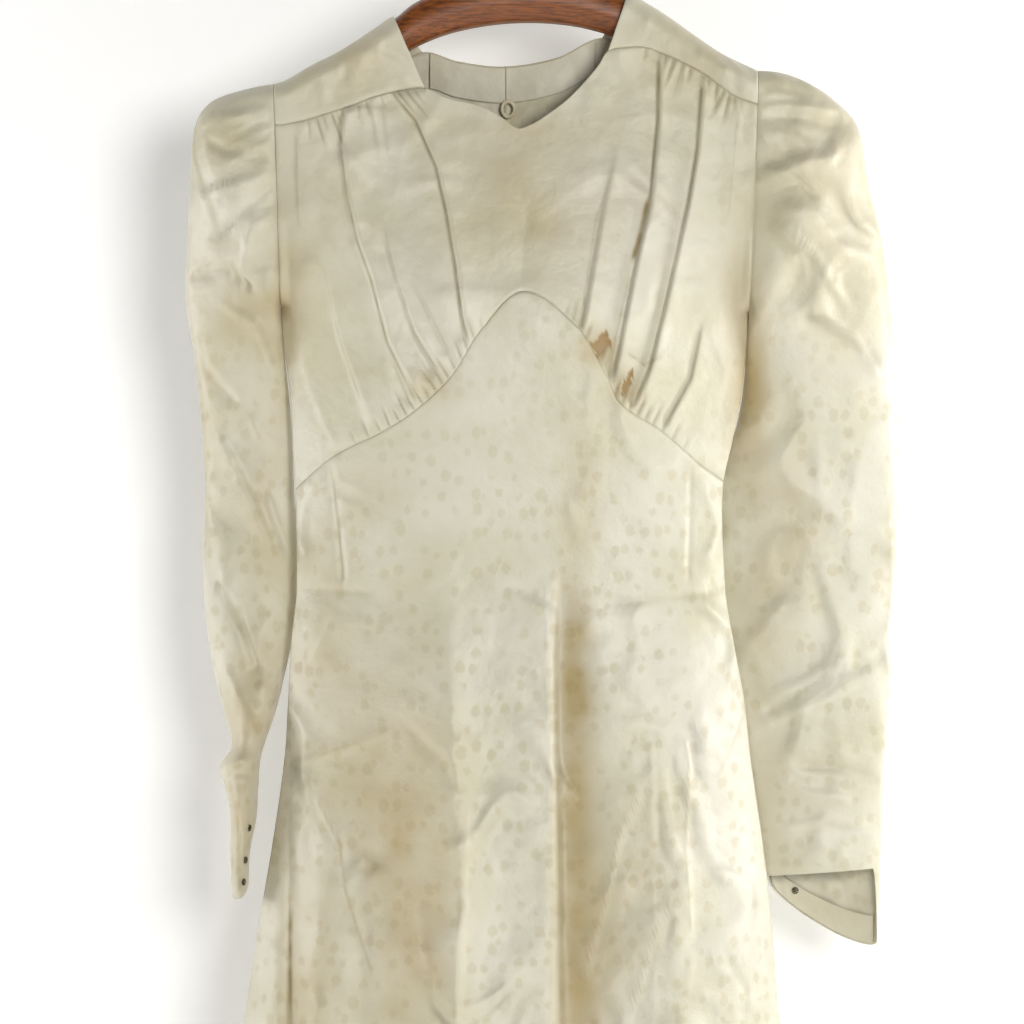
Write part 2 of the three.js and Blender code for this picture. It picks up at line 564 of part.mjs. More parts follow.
// A panel of the dress between two lines of heights and between two columns
function bodyPanel({ side, columns, top, bottom, along, isHole, seams }) {
  const cellsU = columns.length - 1;
  const at = (s, t) => {
    const i = THREE.MathUtils.clamp(Math.floor(s * cellsU), 0, cellsU - 1);
    const u = THREE.MathUtils.lerp(columns[i], columns[i + 1], s * cellsU - i);
    const z = THREE.MathUtils.lerp(meets(top, u), meets(bottom, u), t);
    return bodyPoint(side, u, z);
  };
  // along the seams the wall takes the direction that its neighbour has too, and its edge
  // moves in by half the gap
  const normalAt = (i, j, point) => {
    const u = columns[i];
    const onSeam = (j === 0 || j === along) && point.z > HEM_CENTRE / 2;
    const inwards = i === 0 ? 1 : -1;
    if (Math.abs(u) < 1) {
      if (i === 0 || i === cellsU) point.x += (inwards * SEAM_GAP) / 2;
      return onSeam || i === 0 || i === cellsU ? seamNormal(side, u, point.z) : null;
    }
    const hole = u < 0 ? ARMHOLES.left : ARMHOLES.right;
    if (point.z > hole.underarm) {
      point.x += (inwards * SEAM_GAP) / 2;
      return armholeNormal(hole, point.y, point.z);
    }
    // just under the armhole the edge keeps clear of the sleeve's lowest point
    const nearSleeve = 1 - THREE.MathUtils.smoothstep(hole.underarm - point.z, 0, UNDERARM.height);
    point.x += inwards * nearSleeve * UNDERARM.clear;
    point.y += (side * SEAM_GAP) / 2;
    if (onSeam) point.z += j === 0 ? -SEAM_GAP / 2 : SEAM_GAP / 2;
    return new THREE.Vector3(Math.sign(u), 0, 0);
  };
  return clothWall({ at, cellsU, cellsV: along, out: side, seams, normalAt, isHole });
}

const frontTop = (x) => straight(FRONT_TOP, x);
const underBust = (x) => straight(UNDER_BUST, x);
const backTop = (x) => straight(BACK_TOP, x);
const backWaist = () => BACK_WAIST;
const hem = (x) => HEM_CENTRE + (x / 320) ** 2 * 14;
const columnOf = (x, z) => {
  const left = lookUp(SECTIONS, 'z', 'left', z);
  const right = lookUp(SECTIONS, 'z', 'right', z);
  return (x - (left + right) / 2) / ((right - left) / 2);
};

// Columns from one edge to another, in stretches of equal cells
function spread(...stretches) {
  const list = [stretches[0].from];
  for (const { from, to, cells } of stretches) {
    for (let i = 1; i <= cells; i += 1) list.push(THREE.MathUtils.lerp(from, to, i / cells));
  }
  return list;
}

const neckColumns = {
  frontLeft: columnOf(NECK_ENDS.left.front, -150),
  frontRight: columnOf(NECK_ENDS.right.front, -150),
  backLeft: columnOf(NECK_ENDS.left.back, -150),
  backRight: columnOf(NECK_ENDS.right.back, -150),
  back: columnOf(CENTRE_BACK, -150),
};
const frontColumns = spread(
  { from: -1, to: neckColumns.frontLeft, cells: CELLS.yoke.across },
  { from: neckColumns.frontLeft, to: neckColumns.frontRight, cells: CELLS.neckFront },
  { from: neckColumns.frontRight, to: 1, cells: CELLS.yoke.across },
);
const backColumns = {
  left: spread(
    { from: -1, to: neckColumns.backLeft, cells: CELLS.yoke.across },
    { from: neckColumns.backLeft, to: neckColumns.back, cells: CELLS.neckBack },
  ),
  right: spread(
    { from: neckColumns.back, to: neckColumns.backRight, cells: CELLS.neckBack },
    { from: neckColumns.backRight, to: 1, cells: CELLS.yoke.across },
  ),
};

// The bodice front is cut through where the cloth has torn beside the under-bust seam
const RIPS = [
  { x: 58, z: -362 },
  { x: 78, z: -388 },
];

function ripCells(columns, along) {
  const cells = RIPS.map((rip) => {
    let best = { distance: Infinity };
    for (let i = 1; i < columns.length - 2; i += 1) {
      for (let j = 1; j < along - 1; j += 1) {
        const u = (columns[i] + columns[i + 1]) / 2;
        const z = THREE.MathUtils.lerp(meets(frontTop, u), meets(underBust, u), (j + 0.5) / along);
        const distance = Math.hypot(bodyX(u, z) - rip.x, z - rip.z);
        if (distance < best.distance) best = { distance, i, j };
      }
    }
    return best;
  });
  return (i, j) => cells.some((cell) => cell.i === i && cell.j === j);
}

addPiece('bodice_front', bodyPanel({
  side: -1, columns: frontColumns, top: frontTop, bottom: underBust, along: CELLS.bodiceFront,
  seams: ['v0', 'v1'], isHole: ripCells(frontColumns, CELLS.bodiceFront),
}), SATIN);

addPiece('skirt_front', bodyPanel({
  side: -1, columns: frontColumns, top: underBust, bottom: hem, along: CELLS.skirtFront,
  seams: ['v0'],
}), SATIN);

for (const [half, columns] of Object.entries(backColumns)) {
  addPiece(`bodice_back_${half}`, bodyPanel({
    side: 1, columns, top: backTop, bottom: backWaist, along: CELLS.bodiceBack,
    seams: ['v0', 'v1'],
  }), SATIN);
  addPiece(`skirt_back_${half}`, bodyPanel({
    side: 1, columns, top: backWaist, bottom: hem, along: CELLS.skirtBack,
    seams: ['v0'],
  }), SATIN);
}

// A yoke runs from its front seam up over the hanger's arm and down to its back seam
function yokePoint(end, hole, s, t) {
  const turn = t * 2 - 1;
  const side = turn < 0 ? -1 : 1;
  const seam = side < 0 ? frontTop : backTop;
  const neckSeam = side < 0 ? end.front : end.back;
  const seamColumn = THREE.MathUtils.lerp(columnOf(neckSeam, -150), hole.side, s);
  const seamZ = meets(seam, seamColumn);
  const seamX = bodyX(seamColumn, seamZ);
  const ridgeX = THREE.MathUtils.lerp(end.ridge, hole.side * 185.5, s);
  const ridgeZ = lookUp(SHOULDER, 'x', 'z', ridgeX);
  const share = turn * turn;
  const z = THREE.MathUtils.lerp(ridgeZ, seamZ, share);
  const x = THREE.MathUtils.lerp(ridgeX, seamX, share);
  const column = THREE.MathUtils.clamp(columnOf(x, z), -1, 1);
  const out = Math.abs(bodyPoint(side, column, z).y);
  return new THREE.Vector3(x, side * out * shoulderTurn(ridgeZ - z), z);
}

for (const [name, hole] of Object.entries(ARMHOLES)) {
  const end = NECK_ENDS[name];
  const cells = CELLS.yoke;
  addPiece(`yoke_${name}`, clothWall({
    at: (s, t) => yokePoint(end, hole, s, t),
    cellsU: cells.across,
    cellsV: cells.along,
    out: -hole.side,
    seams: ['v0', 'v1'],
    normalAt: (i, j, point) => {
      if (i === cells.across) {
        point.x -= (hole.side * SEAM_GAP) / 2;
        return armholeNormal(hole, point.y, point.z);
      }
      if (j > 0 && j < cells.along) return null;
      const side = j === 0 ? -1 : 1;
      return seamNormal(side, columnOf(point.x, point.z), point.z);
    },
  }), SATIN);
}

// A sleeve: rings between an outer and an inner point, the first one the armhole itself, the
// last rows drawn down to the point over the hand
function sleevePoint(sleeve, s, t) {
  const { rings, hole, point, folds } = sleeve;
  const rows = rings.map((ring, k) => ({ ...ring, k }));
  const place = THREE.MathUtils.clamp(t, 0, 1) * (rings.length - 1);
  const value = (column) => lookUp(rows, 'k', column, place);
  const angle = s * Math.PI * 2;
  const along = Math.cos(angle);
  const across = -Math.sin(angle);
  const x = (value('outX') + value('inX')) / 2 + ((value('outX') - value('inX')) / 2) * along;
  let z = (value('outZ') + value('inZ')) / 2 + ((value('outZ') - value('inZ')) / 2) * along;
  const side = across < 0 ? -1 : 1;
  const squared = Math.abs(across) ** 0.85 * side;
  const fold = foldSum(folds, x, z) * Math.abs(across) * (side < 0 ? 1 : 0.7);
  let y = value('back') + squared * value('depth') + side * fold;
  const ringZ = hole.top + ((along - 1) / 2) * (hole.top - hole.underarm);
  const first = armholePoint(hole, side, ringZ);
  first.x += (hole.side * SEAM_GAP) / 2;
  const leave = THREE.MathUtils.smoothstep(place, 0, 2);
  const lowered = THREE.MathUtils.smoothstep(point.start - z, 0, 70);
  const onFront = point.frontFade && angle < Math.PI;
  const kept = onFront ? 1 - THREE.MathUtils.smoothstep(angle, 0, point.frontFade) : 1;
  z -= point.drop * lowered * kept * Math.cos((angle - point.at) / 2) ** 2;
  return new THREE.Vector3(
    THREE.MathUtils.lerp(first.x, x, leave),
    THREE.MathUtils.lerp(first.y, y, leave),
    THREE.MathUtils.lerp(first.z, z, leave),
  );
}

for (const [name, sleeve] of Object.entries(SLEEVES)) {
  addPiece(`sleeve_${name}`, clothWall({
    at: (s, t) => sleevePoint(sleeve, s, t),
    cellsU: CELLS.sleeve.round,
    cellsV: CELLS.sleeve[name],
    out: sleeve.hole.side,
    round: true,
    normalAt: (i, j, point) => (j === 0 ? armholeNormal(sleeve.hole, point.y, point.z) : null),
  }), SATIN);
}

// The back neck facing lies inside the back, from the neck edge down
function insideBack(u, z, depth) {
  const away = seamNormal(1, u, z).multiplyScalar(-depth);
  return bodyPoint(1, u, z).add(away);
}

const facingDepth = WALL / 2 + LAID_GAP + FACING.thickness / 2;
for (const [half, ends] of Object.entries({
  left: [neckColumns.backLeft + 0.03, neckColumns.back - 0.002],
  right: [neckColumns.back + 0.002, neckColumns.backRight - 0.03],
})) {
  addPiece(`back_neck_facing_${half}`, clothWall({
    at: (s, t) => {
      const u = THREE.MathUtils.lerp(ends[0], ends[1], s);
      const top = meets(backTop, u) - 1;
      return insideBack(u, top - t * FACING.backNeck, facingDepth);
    },
    cellsU: 8,
    cellsV: CELLS.facing,
    out: 1,
    thickness: FACING.thickness,
  }), SATIN);
}

// The loop at the centre back shows inside the neck, and its button is on the outside
const loopY = insideBack(columnOf(LOOP.x, LOOP.z), LOOP.z + LOOP.height / 2,
  facingDepth + FACING.thickness / 2 + LAID_GAP + LOOP.cord).y;
const loop = new THREE.TorusGeometry(LOOP.width / 2 - LOOP.cord, LOOP.cord, 6, 16);
loop.rotateX(Math.PI / 2);
loop.scale(1, 1, LOOP.height / LOOP.width);
loop.translate(LOOP.x, loopY + 0.1, LOOP.z);
addPiece('button_loop', loop, SATIN);

const buttonProfile = [];
for (let i = 0; i <= 8; i += 1) {
  const angle = (i / 8) * Math.PI - Math.PI / 2;
  buttonProfile.push(new THREE.Vector2(
    i === 0 || i === 8 ? 0 : BUTTON.radius * Math.cos(angle),
    (BUTTON.thickness / 2) * Math.sin(angle),
  ));
}
const button = new THREE.LatheGeometry(buttonProfile, 12);
const behind = bodyPoint(1, neckColumns.back, BUTTON.z).y;
button.translate(CENTRE_BACK, behind + WALL / 2 + 2 * LAID_GAP + BUTTON.thickness / 2, BUTTON.z);
addPiece('back_button', button, SATIN);

// The inside of the right cuff's point is faced, which shows below the front edge
function insideCuff(s, t, depth) {
  const sleeve = SLEEVES.right;
  const here = sleevePoint(sleeve, s, t);
  const alongS = sleevePoint(sleeve, s + STEP, t).sub(sleevePoint(sleeve, s - STEP, t));
  const alongT = here.clone().sub(sleevePoint(sleeve, s, t - STEP));
  const normal = alongS.cross(alongT).normalize().multiplyScalar(-depth);
  return here.add(normal);
}
addPiece('cuff_facing_right', clothWall({
  at: (s, t) => insideCuff(THREE.MathUtils.lerp(0.55, 0.95, s),
    THREE.MathUtils.lerp(0.955, 0.996, Math.min(t, 1)), facingDepth + 0.3),
  cellsU: 10,
  cellsV: CELLS.facing,
  out: 1,
  thickness: FACING.thickness,
}), SATIN);

// A press stud lies flat on the cloth: found where the sleeve passes the stud's place
function findOnSleeve(sleeve, target, from, to) {
  let best = { distance: Infinity };
  for (let i = 0; i <= 60; i += 1) {
    for (let j = 0; j <= 60; j += 1) {
      const s = THREE.MathUtils.lerp(from, to, i / 60);
      const t = THREE.MathUtils.lerp(0.8, 0.995, j / 60);
      const point = sleevePoint(sleeve, s, t);
      const distance = Math.hypot(point.x - target.x, point.z - target.z);
      if (distance < best.distance) best = { distance, s, t, point };
    }
  }
  return best;
}

function pressStud(sleeve, place, lift) {
  const { s, t, point } = place;
  const alongS = sleevePoint(sleeve, s + STEP, t).sub(sleevePoint(sleeve, s - STEP, t));
  const alongT = sleevePoint(sleeve, s, t + STEP).sub(sleevePoint(sleeve, s, t - STEP));
  const normal = alongS.cross(alongT).normalize().multiplyScalar(sleeve.hole.side);
  const stud = new THREE.CylinderGeometry(STUD.radius * 0.8, STUD.radius, STUD.thickness, 10);
  const lying = new THREE.Quaternion().setFromUnitVectors(
    new THREE.Vector3(0, 1, 0), normal.clone().multiplyScalar(Math.sign(lift)),
  );
  stud.applyQuaternion(lying);
  const seat = point.clone().addScaledVector(normal, lift);
  stud.translate(seat.x, seat.y, seat.z);
  return stud;
}

const studLift = WALL / 2 + LAID_GAP + STUD.thickness / 2;
LEFT_STUDS.forEach((target, k) => {
  const place = findOnSleeve(SLEEVES.left, target, 0.2, 0.48);
  addPiece(`press_stud_left_${k + 1}`, pressStud(SLEEVES.left, place, studLift), STUD_METAL, 0.4, 0.9);
});
const rightPlace = findOnSleeve(SLEEVES.right, RIGHT_STUD, 0.52, 0.7);
addPiece('press_stud_right',
  pressStud(SLEEVES.right, rightPlace, -studLift - FACING.thickness - LAID_GAP - 0.6), STUD_METAL, 0.4, 0.9);

// The hanger: arms lofted through their sections, closed at both tips
function hangerArms() {
  const rings = 24;
  const corners = HANGER_SECTION.length;
  const points = [];
  const faces = [];
  const first = HANGER[0].x;
  const last = HANGER[HANGER.length - 1].x;
  for (let k = 0; k <= rings; k += 1) {
    const x = THREE.MathUtils.lerp(first, last, k / rings);
    const value = (column) => lookUp(HANGER, 'x', column, x);
    for (const [y, z] of HANGER_SECTION) {
      points.push(x, y * value('depth'), value('top') + z * value('height'));
    }
  }
  for (let k = 0; k < rings; k += 1) {
    for (let i = 0; i < corners; i += 1) {
      const a = k * corners + i;
      const b = k * corners + ((i + 1) % corners);
      faces.push(a, b + corners, b, a, a + corners, b + corners);
    }
  }
  const lastRing = rings * corners;
  for (let i = 1; i + 1 < corners; i += 1) {
    faces.push(0, i, i + 1, lastRing, lastRing + i + 1, lastRing + i);
  }
  const geometry = new THREE.BufferGeometry();
  geometry.setAttribute('position', new THREE.Float32BufferAttribute(points, 3));
  geometry.setIndex(faces);
  return geometry;
}
addPiece('hanger_arms', hangerArms(), WOOD, 0.45);

// The hook: one wire, its inside top at the origin
function hangerHook() {
  const reach = HOOK.inside + HOOK.wire;
  const around = (degrees) => {
    const angle = THREE.MathUtils.degToRad(degrees);
    return [reach * Math.cos(angle), -HOOK.inside + reach * Math.sin(angle)];
  };
  const bends = [190, 160, 130, 110, 90, 65, 40, 15, -10, -35].map(around);
  const shank = [[6, -44], [1, -51], [0, -58], [0, (HOOK.foot - 58) / 2], [0, HOOK.foot]];
  const path = new THREE.CatmullRomCurve3(
    [...bends, ...shank].map(([x, z]) => new THREE.Vector3(x, 0, z)),
  );
  const section = new THREE.Shape();
  section.absarc(0, 0, HOOK.wire, 0, Math.PI * 2);
  return new THREE.ExtrudeGeometry(section, { steps: 26, curveSegments: 4, extrudePath: path });
}
addPiece('hanger_hook', hangerHook(), STEEL, 0.3, 1);

export default dress;
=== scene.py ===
import math
from collections import namedtuple

import bmesh
import bpy
import numpy as np
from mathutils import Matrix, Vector


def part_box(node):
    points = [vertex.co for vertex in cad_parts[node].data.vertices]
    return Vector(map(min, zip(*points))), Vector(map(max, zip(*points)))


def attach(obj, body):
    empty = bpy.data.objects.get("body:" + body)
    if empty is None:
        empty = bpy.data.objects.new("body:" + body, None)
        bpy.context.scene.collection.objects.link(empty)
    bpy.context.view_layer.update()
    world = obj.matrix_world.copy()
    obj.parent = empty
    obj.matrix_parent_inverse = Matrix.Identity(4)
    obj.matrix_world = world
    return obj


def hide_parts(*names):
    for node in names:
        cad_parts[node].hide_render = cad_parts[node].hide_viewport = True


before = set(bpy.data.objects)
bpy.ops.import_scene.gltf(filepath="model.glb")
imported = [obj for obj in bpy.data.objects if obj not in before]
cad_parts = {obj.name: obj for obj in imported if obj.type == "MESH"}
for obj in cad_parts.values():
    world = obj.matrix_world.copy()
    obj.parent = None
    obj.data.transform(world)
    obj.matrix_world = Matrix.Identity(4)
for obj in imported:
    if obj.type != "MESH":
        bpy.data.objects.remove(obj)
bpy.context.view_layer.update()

MM = 0.001  # every size below is in millimetres, and meshes are in metres


# The camera stands straight in front of the dress, a little above the height of its waist, and
# takes in 788 mm of it: the hanger's hook and the foot of the skirt lie outside the picture.
VIEW_WIDTH = 788
VIEW_CENTRE = (-3, -484)
CAMERA_DISTANCE = 4200
SENSOR = 36

camera_data = bpy.data.cameras.new("camera")
camera_data.sensor_width = SENSOR
camera_data.lens = SENSOR * CAMERA_DISTANCE / VIEW_WIDTH
camera = bpy.data.objects.new("camera", camera_data)
camera.location = (VIEW_CENTRE[0] * MM, -CAMERA_DISTANCE * MM, VIEW_CENTRE[1] * MM)
camera.rotation_euler = (math.radians(90), 0, 0)
bpy.context.scene.collection.objects.link(camera)
bpy.context.scene.camera = camera
bpy.context.scene.view_settings.view_transform = "Standard"


# The hanger's arms are one shaped piece of beech, stained brown and varnished. The top is
# crowned and the lower front edge bevelled, which shows as a dark band along the neck.
Arm = namedtuple("Arm", "x top height depth")
HANGER = [
    Arm(-173, -151.4, 19, 7), Arm(-158, -142.6, 23, 8.5), Arm(-134, -130, 28, 10),
    Arm(-107, -112.6, 32, 11), Arm(-94, -104.6, 34, 11.3), Arm(-78, -92, 35, 11.6),
    Arm(-45, -77.5, 37, 12), Arm(0, -70, 38, 12), Arm(45, -73.5, 37, 12), Arm(86, -87.6, 34, 11.4),
    Arm(100, -94.2, 33, 11), Arm(119, -106.1, 31, 10.5), Arm(138, -119.6, 28, 10),
    Arm(159, -133.6, 23, 8.5), Arm(173, -140.9, 19, 7),
]
HANGER_SECTION = [
    (0, 0), (0.5, -0.07), (0.85, -0.21), (1, -0.42), (1, -0.8), (0.8, -0.97),
    (0.2, -1), (-0.35, -0.95), (-1, -0.66), (-1, -0.42), (-0.85, -0.21), (-0.5, -0.07),
]
TIP_ROUND = 5


def through(keys, values, k):
    """A smooth line through points, at k: cubic Hermite pieces whose slope at each point is that
    of the line between its two neighbours. Beyond its ends the line stays level."""
    keys, values = np.asarray(keys, float), np.asarray(values, float)
    if keys[-1] < keys[0]:
        keys, values = keys[::-1], values[::-1]
    slopes = np.empty(len(keys))
    slopes[1:-1] = (values[2:] - values[:-2]) / (keys[2:] - keys[:-2])
    slopes[0] = (values[1] - values[0]) / (keys[1] - keys[0])
    slopes[-1] = (values[-1] - values[-2]) / (keys[-1] - keys[-2])
    i = np.clip(np.searchsorted(keys, k) - 1, 0, len(keys) - 2)
    width = keys[i + 1] - keys[i]
    t = np.clip((k - keys[i]) / width, 0, 1)
    start = (2 * t**3 - 3 * t**2 + 1) * values[i] + (t**3 - 2 * t**2 + t) * width * slopes[i]
    end = (3 * t**2 - 2 * t**3) * values[i + 1] + (t**3 - t**2) * width * slopes[i + 1]
    return start + end


def value_of(rows, key, name, k):
    """The smooth line through one named column of a table, over another."""
    return through([getattr(r, key) for r in rows], [getattr(r, name) for r in rows], k)


def lengths_along(corners):
    """How far along a broken line each of its corners lies."""
    return np.r_[0, np.cumsum(np.hypot(*np.diff(corners, axis=0).T))]


def turns(count):
    """Even angles once round a circle."""
    return np.linspace(0, 2 * math.pi, count, endpoint=False)


def grid_of(x, y, z):
    """A grid of points from its coordinates."""
    return np.stack(np.broadcast_arrays(x, y, z), axis=-1)


def grid_mesh(name, points, uv=None, closed=False, caps=False):
    """Quads on a grid of points in millimetres: rows, columns, xyz. closed joins the last column
    to the first, and caps closes the first and last row."""
    rows, columns = points.shape[:2]
    number = np.arange(rows * columns).reshape(rows, columns)
    if closed:
        number = np.concatenate([number, number[:, :1]], axis=1)
    corners = [number[:-1, :-1], number[1:, :-1], number[1:, 1:], number[:-1, 1:]]
    quads = np.stack(corners, axis=-1).reshape(-1, 4)
    mesh = bpy.data.meshes.new(name)
    mesh.vertices.add(rows * columns)
    mesh.vertices.foreach_set("co", (points.reshape(-1, 3) * MM).astype(np.float32).ravel())
    mesh.loops.add(quads.size)
    mesh.loops.foreach_set("vertex_index", quads.ravel().astype(np.int32))
    mesh.polygons.add(len(quads))
    mesh.polygons.foreach_set("loop_start", (np.arange(len(quads)) * 4).astype(np.int32))
    mesh.update(calc_edges=True)
    if uv is not None:
        if closed:
            uv = np.concatenate([uv, uv[:, -1:] * 2 - uv[:, -2:-1]], axis=1)
        flat = np.stack([uv[:-1, :-1], uv[1:, :-1], uv[1:, 1:], uv[:-1, 1:]], axis=-2)
        layer = mesh.uv_layers.new(name="cloth")
        layer.data.foreach_set("uv", (flat * MM).astype(np.float32).ravel())
    if caps:
        work = bmesh.new()
        work.from_mesh(mesh)
        work.verts.ensure_lookup_table()
        for start in (0, (rows - 1) * columns):
            work.faces.new([work.verts[start + i] for i in range(columns)])
        bmesh.ops.recalc_face_normals(work, faces=work.faces)
        work.to_mesh(mesh)
        work.free()
    mesh.validate()
    mesh.polygons.foreach_set("use_smooth", np.ones(len(mesh.polygons), bool))
    return mesh


def place(mesh, material, nodes=()):
    """Put a finished mesh into the scene as a piece that stands for its solids."""
    piece = bpy.data.objects.new(mesh.name, mesh)
    bpy.context.scene.collection.objects.link(piece)
    mesh.materials.append(material)
    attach(piece, "root")
    if nodes:
        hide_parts(*nodes)
    return piece


def srgb(hex_colour):
    """A colour written as sRGB hex, as the linear values that Blender takes."""
    parts = [int(hex_colour[i:i + 2], 16) / 255 for i in (1, 3, 5)]
    return (*[c / 12.92 if c <= 0.04045 else ((c + 0.055) / 1.055) ** 2.4 for c in parts], 1)


def add_node(tree, kind, settings=None, values=None):
    """Add a shader node. settings are its properties; values are given by socket name or number,
    each a plain value or another node's output, which is linked."""
    node = tree.nodes.new("ShaderNode" + kind)
    for key, value in (settings or {}).items():
        setattr(node, key, value)
    for key, value in (values or {}).items():
        if isinstance(value, bpy.types.NodeSocket):
            tree.links.new(value, node.inputs[key])
        else:
            node.inputs[key].default_value = value
    return node


def two_tones(tree, share, low, dark, high, light):
    """From one colour where share is low to another where it is high."""
    ramp = add_node(tree, "ValToRGB", values={"Fac": share})
    for i, (position, tone) in enumerate(((low, dark), (high, light))):
        ramp.color_ramp.elements[i].position = position
        ramp.color_ramp.elements[i].color = srgb(tone)
    return ramp.outputs[0]


def mixed(tree, share, under, over, how="MIX"):
    """One colour blended over another."""
    return add_node(tree, "Mix", {"data_type": "RGBA", "blend_type": how}, {
        0: share, 6: under, 7: over}).outputs[2]


def bump(tree, strength, distance, height, **under):
    """Fine relief of a given height in metres, over another bump where Normal names one."""
    return add_node(tree, "Bump", values={
        "Strength": strength, "Distance": distance, "Height": height, **under}).outputs[0]


def finish(material_name, build):
    """A node material: build(tree) returns its surface shader's output."""
    material = bpy.data.materials.new(material_name)
    material.use_nodes = True
    tree = material.node_tree
    tree.nodes.clear()
    output = tree.nodes.new("ShaderNodeOutputMaterial")
    tree.links.new(build(tree), output.inputs["Surface"])
    return material


def stained_beech(tree):
    """Beech under brown stain and varnish: short dark pores along the arms, a slow change of
    tone, and a coat that gives long soft highlights."""
    where = add_node(tree, "TexCoord").outputs["Object"]
    along = add_node(tree, "Mapping", values={"Vector": where, "Scale": (0.09, 1, 1)})
    grain = add_node(tree, "TexNoise", values={
        "Vector": along.outputs[0], "Scale": 620.0, "Detail": 5.0, "Roughness": 0.65})
    tone = add_node(tree, "TexNoise", values={
        "Vector": along.outputs[0], "Scale": 60.0, "Detail": 2.0})
    stain = two_tones(tree, grain.outputs[0], 0.32, "#4c2209", 0.62, "#9a551b")
    uneven = mixed(tree, 0.2, stain, tone.outputs[0], "MULTIPLY")
    pores = bump(tree, 0.15, 0.0003, grain.outputs[0])
    shader = add_node(tree, "BsdfPrincipled", values={
        "Base Color": uneven, "Roughness": 0.38, "IOR": 1.5,
        "Coat Weight": 0.25, "Coat Roughness": 0.3, "Normal": pores})
    return shader.outputs[0]


def hanger_arms_mesh():
    """Rings at even steps along the arms. Each ring is the section, its corners softened, times
    the half depth and the height there; the tips close with a dome."""
    first, last = HANGER[0].x, HANGER[-1].x
    x = np.linspace(first, last, 150)[:, None]
    corners = np.array(HANGER_SECTION + HANGER_SECTION[:1], float)
    lengths = lengths_along(corners)
    even = np.linspace(0, lengths[-1], 60, endpoint=False)
    section = np.stack([np.interp(even, lengths, corners[:, i]) for i in (0, 1)], axis=1)
    for _ in range(2):
        section = (np.roll(section, 1, 0) + 2 * section + np.roll(section, -1, 0)) / 4
    top, height, depth = (value_of(HANGER, "x", name, x) for name in ("top", "height", "depth"))
    from_tip = np.clip(np.minimum(x - first, last - x) / TIP_ROUND, 0.02, 1)
    dome = np.sqrt(1 - (1 - from_tip) ** 2)
    y = section[:, 0] * depth * dome
    z = top - height / 2 + (section[:, 1] + 0.5) * height * dome
    return grid_mesh("hanger_arms_shaped", grid_of(x, y, z), closed=True, caps=True)


place(hanger_arms_mesh(), finish("stained_beech", stained_beech), ["hanger_arms"])


# The hook is one bright steel wire, bent at the top and screwed into the wood. The inside of
# its bend is where the whole hangs.
HOOK_WIRE = 1.7
HOOK_INSIDE = 20
HOOK_BENDS = (190, 160, 130, 110, 90, 65, 40, 15, -10, -35)
HOOK_SHANK = [(6, -44), (1, -51), (0, -58), (0, -64), (0, -69.4)]


def drawn_steel(tree):
    """Drawn steel wire: bright metal, its polish broken by fine marks."""
    where = add_node(tree, "TexCoord").outputs["Object"]
    marks = add_node(tree, "TexNoise", values={"Vector": where, "Scale": 900.0, "Detail": 2.0})
    polish = add_node(tree, "MapRange", values={
        "Value": marks.outputs[0], "To Min": 0.2, "To Max": 0.36})
    shader = add_node(tree, "BsdfPrincipled", values={
        "Base Color": srgb("#c3c5c8"), "Metallic": 1.0, "Roughness": polish.outputs[0]})
    return shader.outputs[0]


def tube_points(path, radius, around):
    """A circle carried along a path: at each point it stands square to the path, turned so that
    its first direction stays close to the y axis."""
    path = np.asarray(path, float)
    radius = np.broadcast_to(radius, len(path))[:, None, None]
    ahead = np.gradient(path, axis=0)
    ahead /= np.linalg.norm(ahead, axis=1)[:, None]
    side = np.array([0.0, 1.0, 0.0]) - ahead * ahead[:, 1:2]
    side /= np.linalg.norm(side, axis=1)[:, None] + 1e-9
    up = np.cross(ahead, side)
    angle = turns(around)[:, None]
    ring = np.cos(angle) * side[:, None] + np.sin(angle) * up[:, None]
    return path[:, None] + radius * ring


def hook_mesh():
    """The wire's middle line: an arc round the origin's inside, then the shank down to the wood."""
    reach = HOOK_INSIDE + HOOK_WIRE
    turn = np.radians(HOOK_BENDS)
    bends = np.stack([reach * np.cos(turn), reach * np.sin(turn) - HOOK_INSIDE], axis=1)
    corners = np.concatenate([bends, HOOK_SHANK])
    lengths = lengths_along(corners)
    even = np.linspace(0, lengths[-1], 120)
    x, z = (through(lengths, corners[:, i], even) for i in (0, 1))
    path = grid_of(x, 0.0, z)
    return grid_mesh("hanger_hook_wire", tube_points(path, HOOK_WIRE, 16), closed=True, caps=True)


place(hook_mesh(), finish("drawn_steel_wire", drawn_steel), ["hanger_hook"])


# The unfolded dress: at each height its left and right edges, and how far its front and its
# back stand out from the middle plane.
Section = namedtuple("Section", "z left right front back")
SECTIONS = [
    Section(-80, -186, 186, 15, 14), Section(-155, -185.5, 185.5, 17, 16),
    Section(-187, -184.6, 184.6, 22, 18), Section(-219, -183.7, 183.7, 29, 21),
    Section(-254, -182.8, 182.6, 36, 23), Section(-297, -181.6, 180.8, 45, 25),
    Section(-325, -180.8, 179.4, 50, 26), Section(-352, -179, 177.6, 50, 26),
    Section(-390, -174, 174, 48, 26), Section(-429, -171.5, 166.5, 43, 26),
    Section(-466, -169.5, 159, 39, 26), Section(-544, -168.5, 161, 34, 25),
    Section(-583, -172.5, 167, 38, 29), Section(-629, -175, 175.5, 45, 36),
    Section(-675, -178, 180.5, 50, 42), Section(-745, -188, 190.5, 57, 50),
    Section(-806, -198.5, 197, 62, 56), Section(-878, -209, 203, 67, 62),
    Section(-1100, -246, 232, 83, 79), Section(-1300, -282, 266, 96, 94),
    Section(-1540, -326, 310, 108, 108),
]
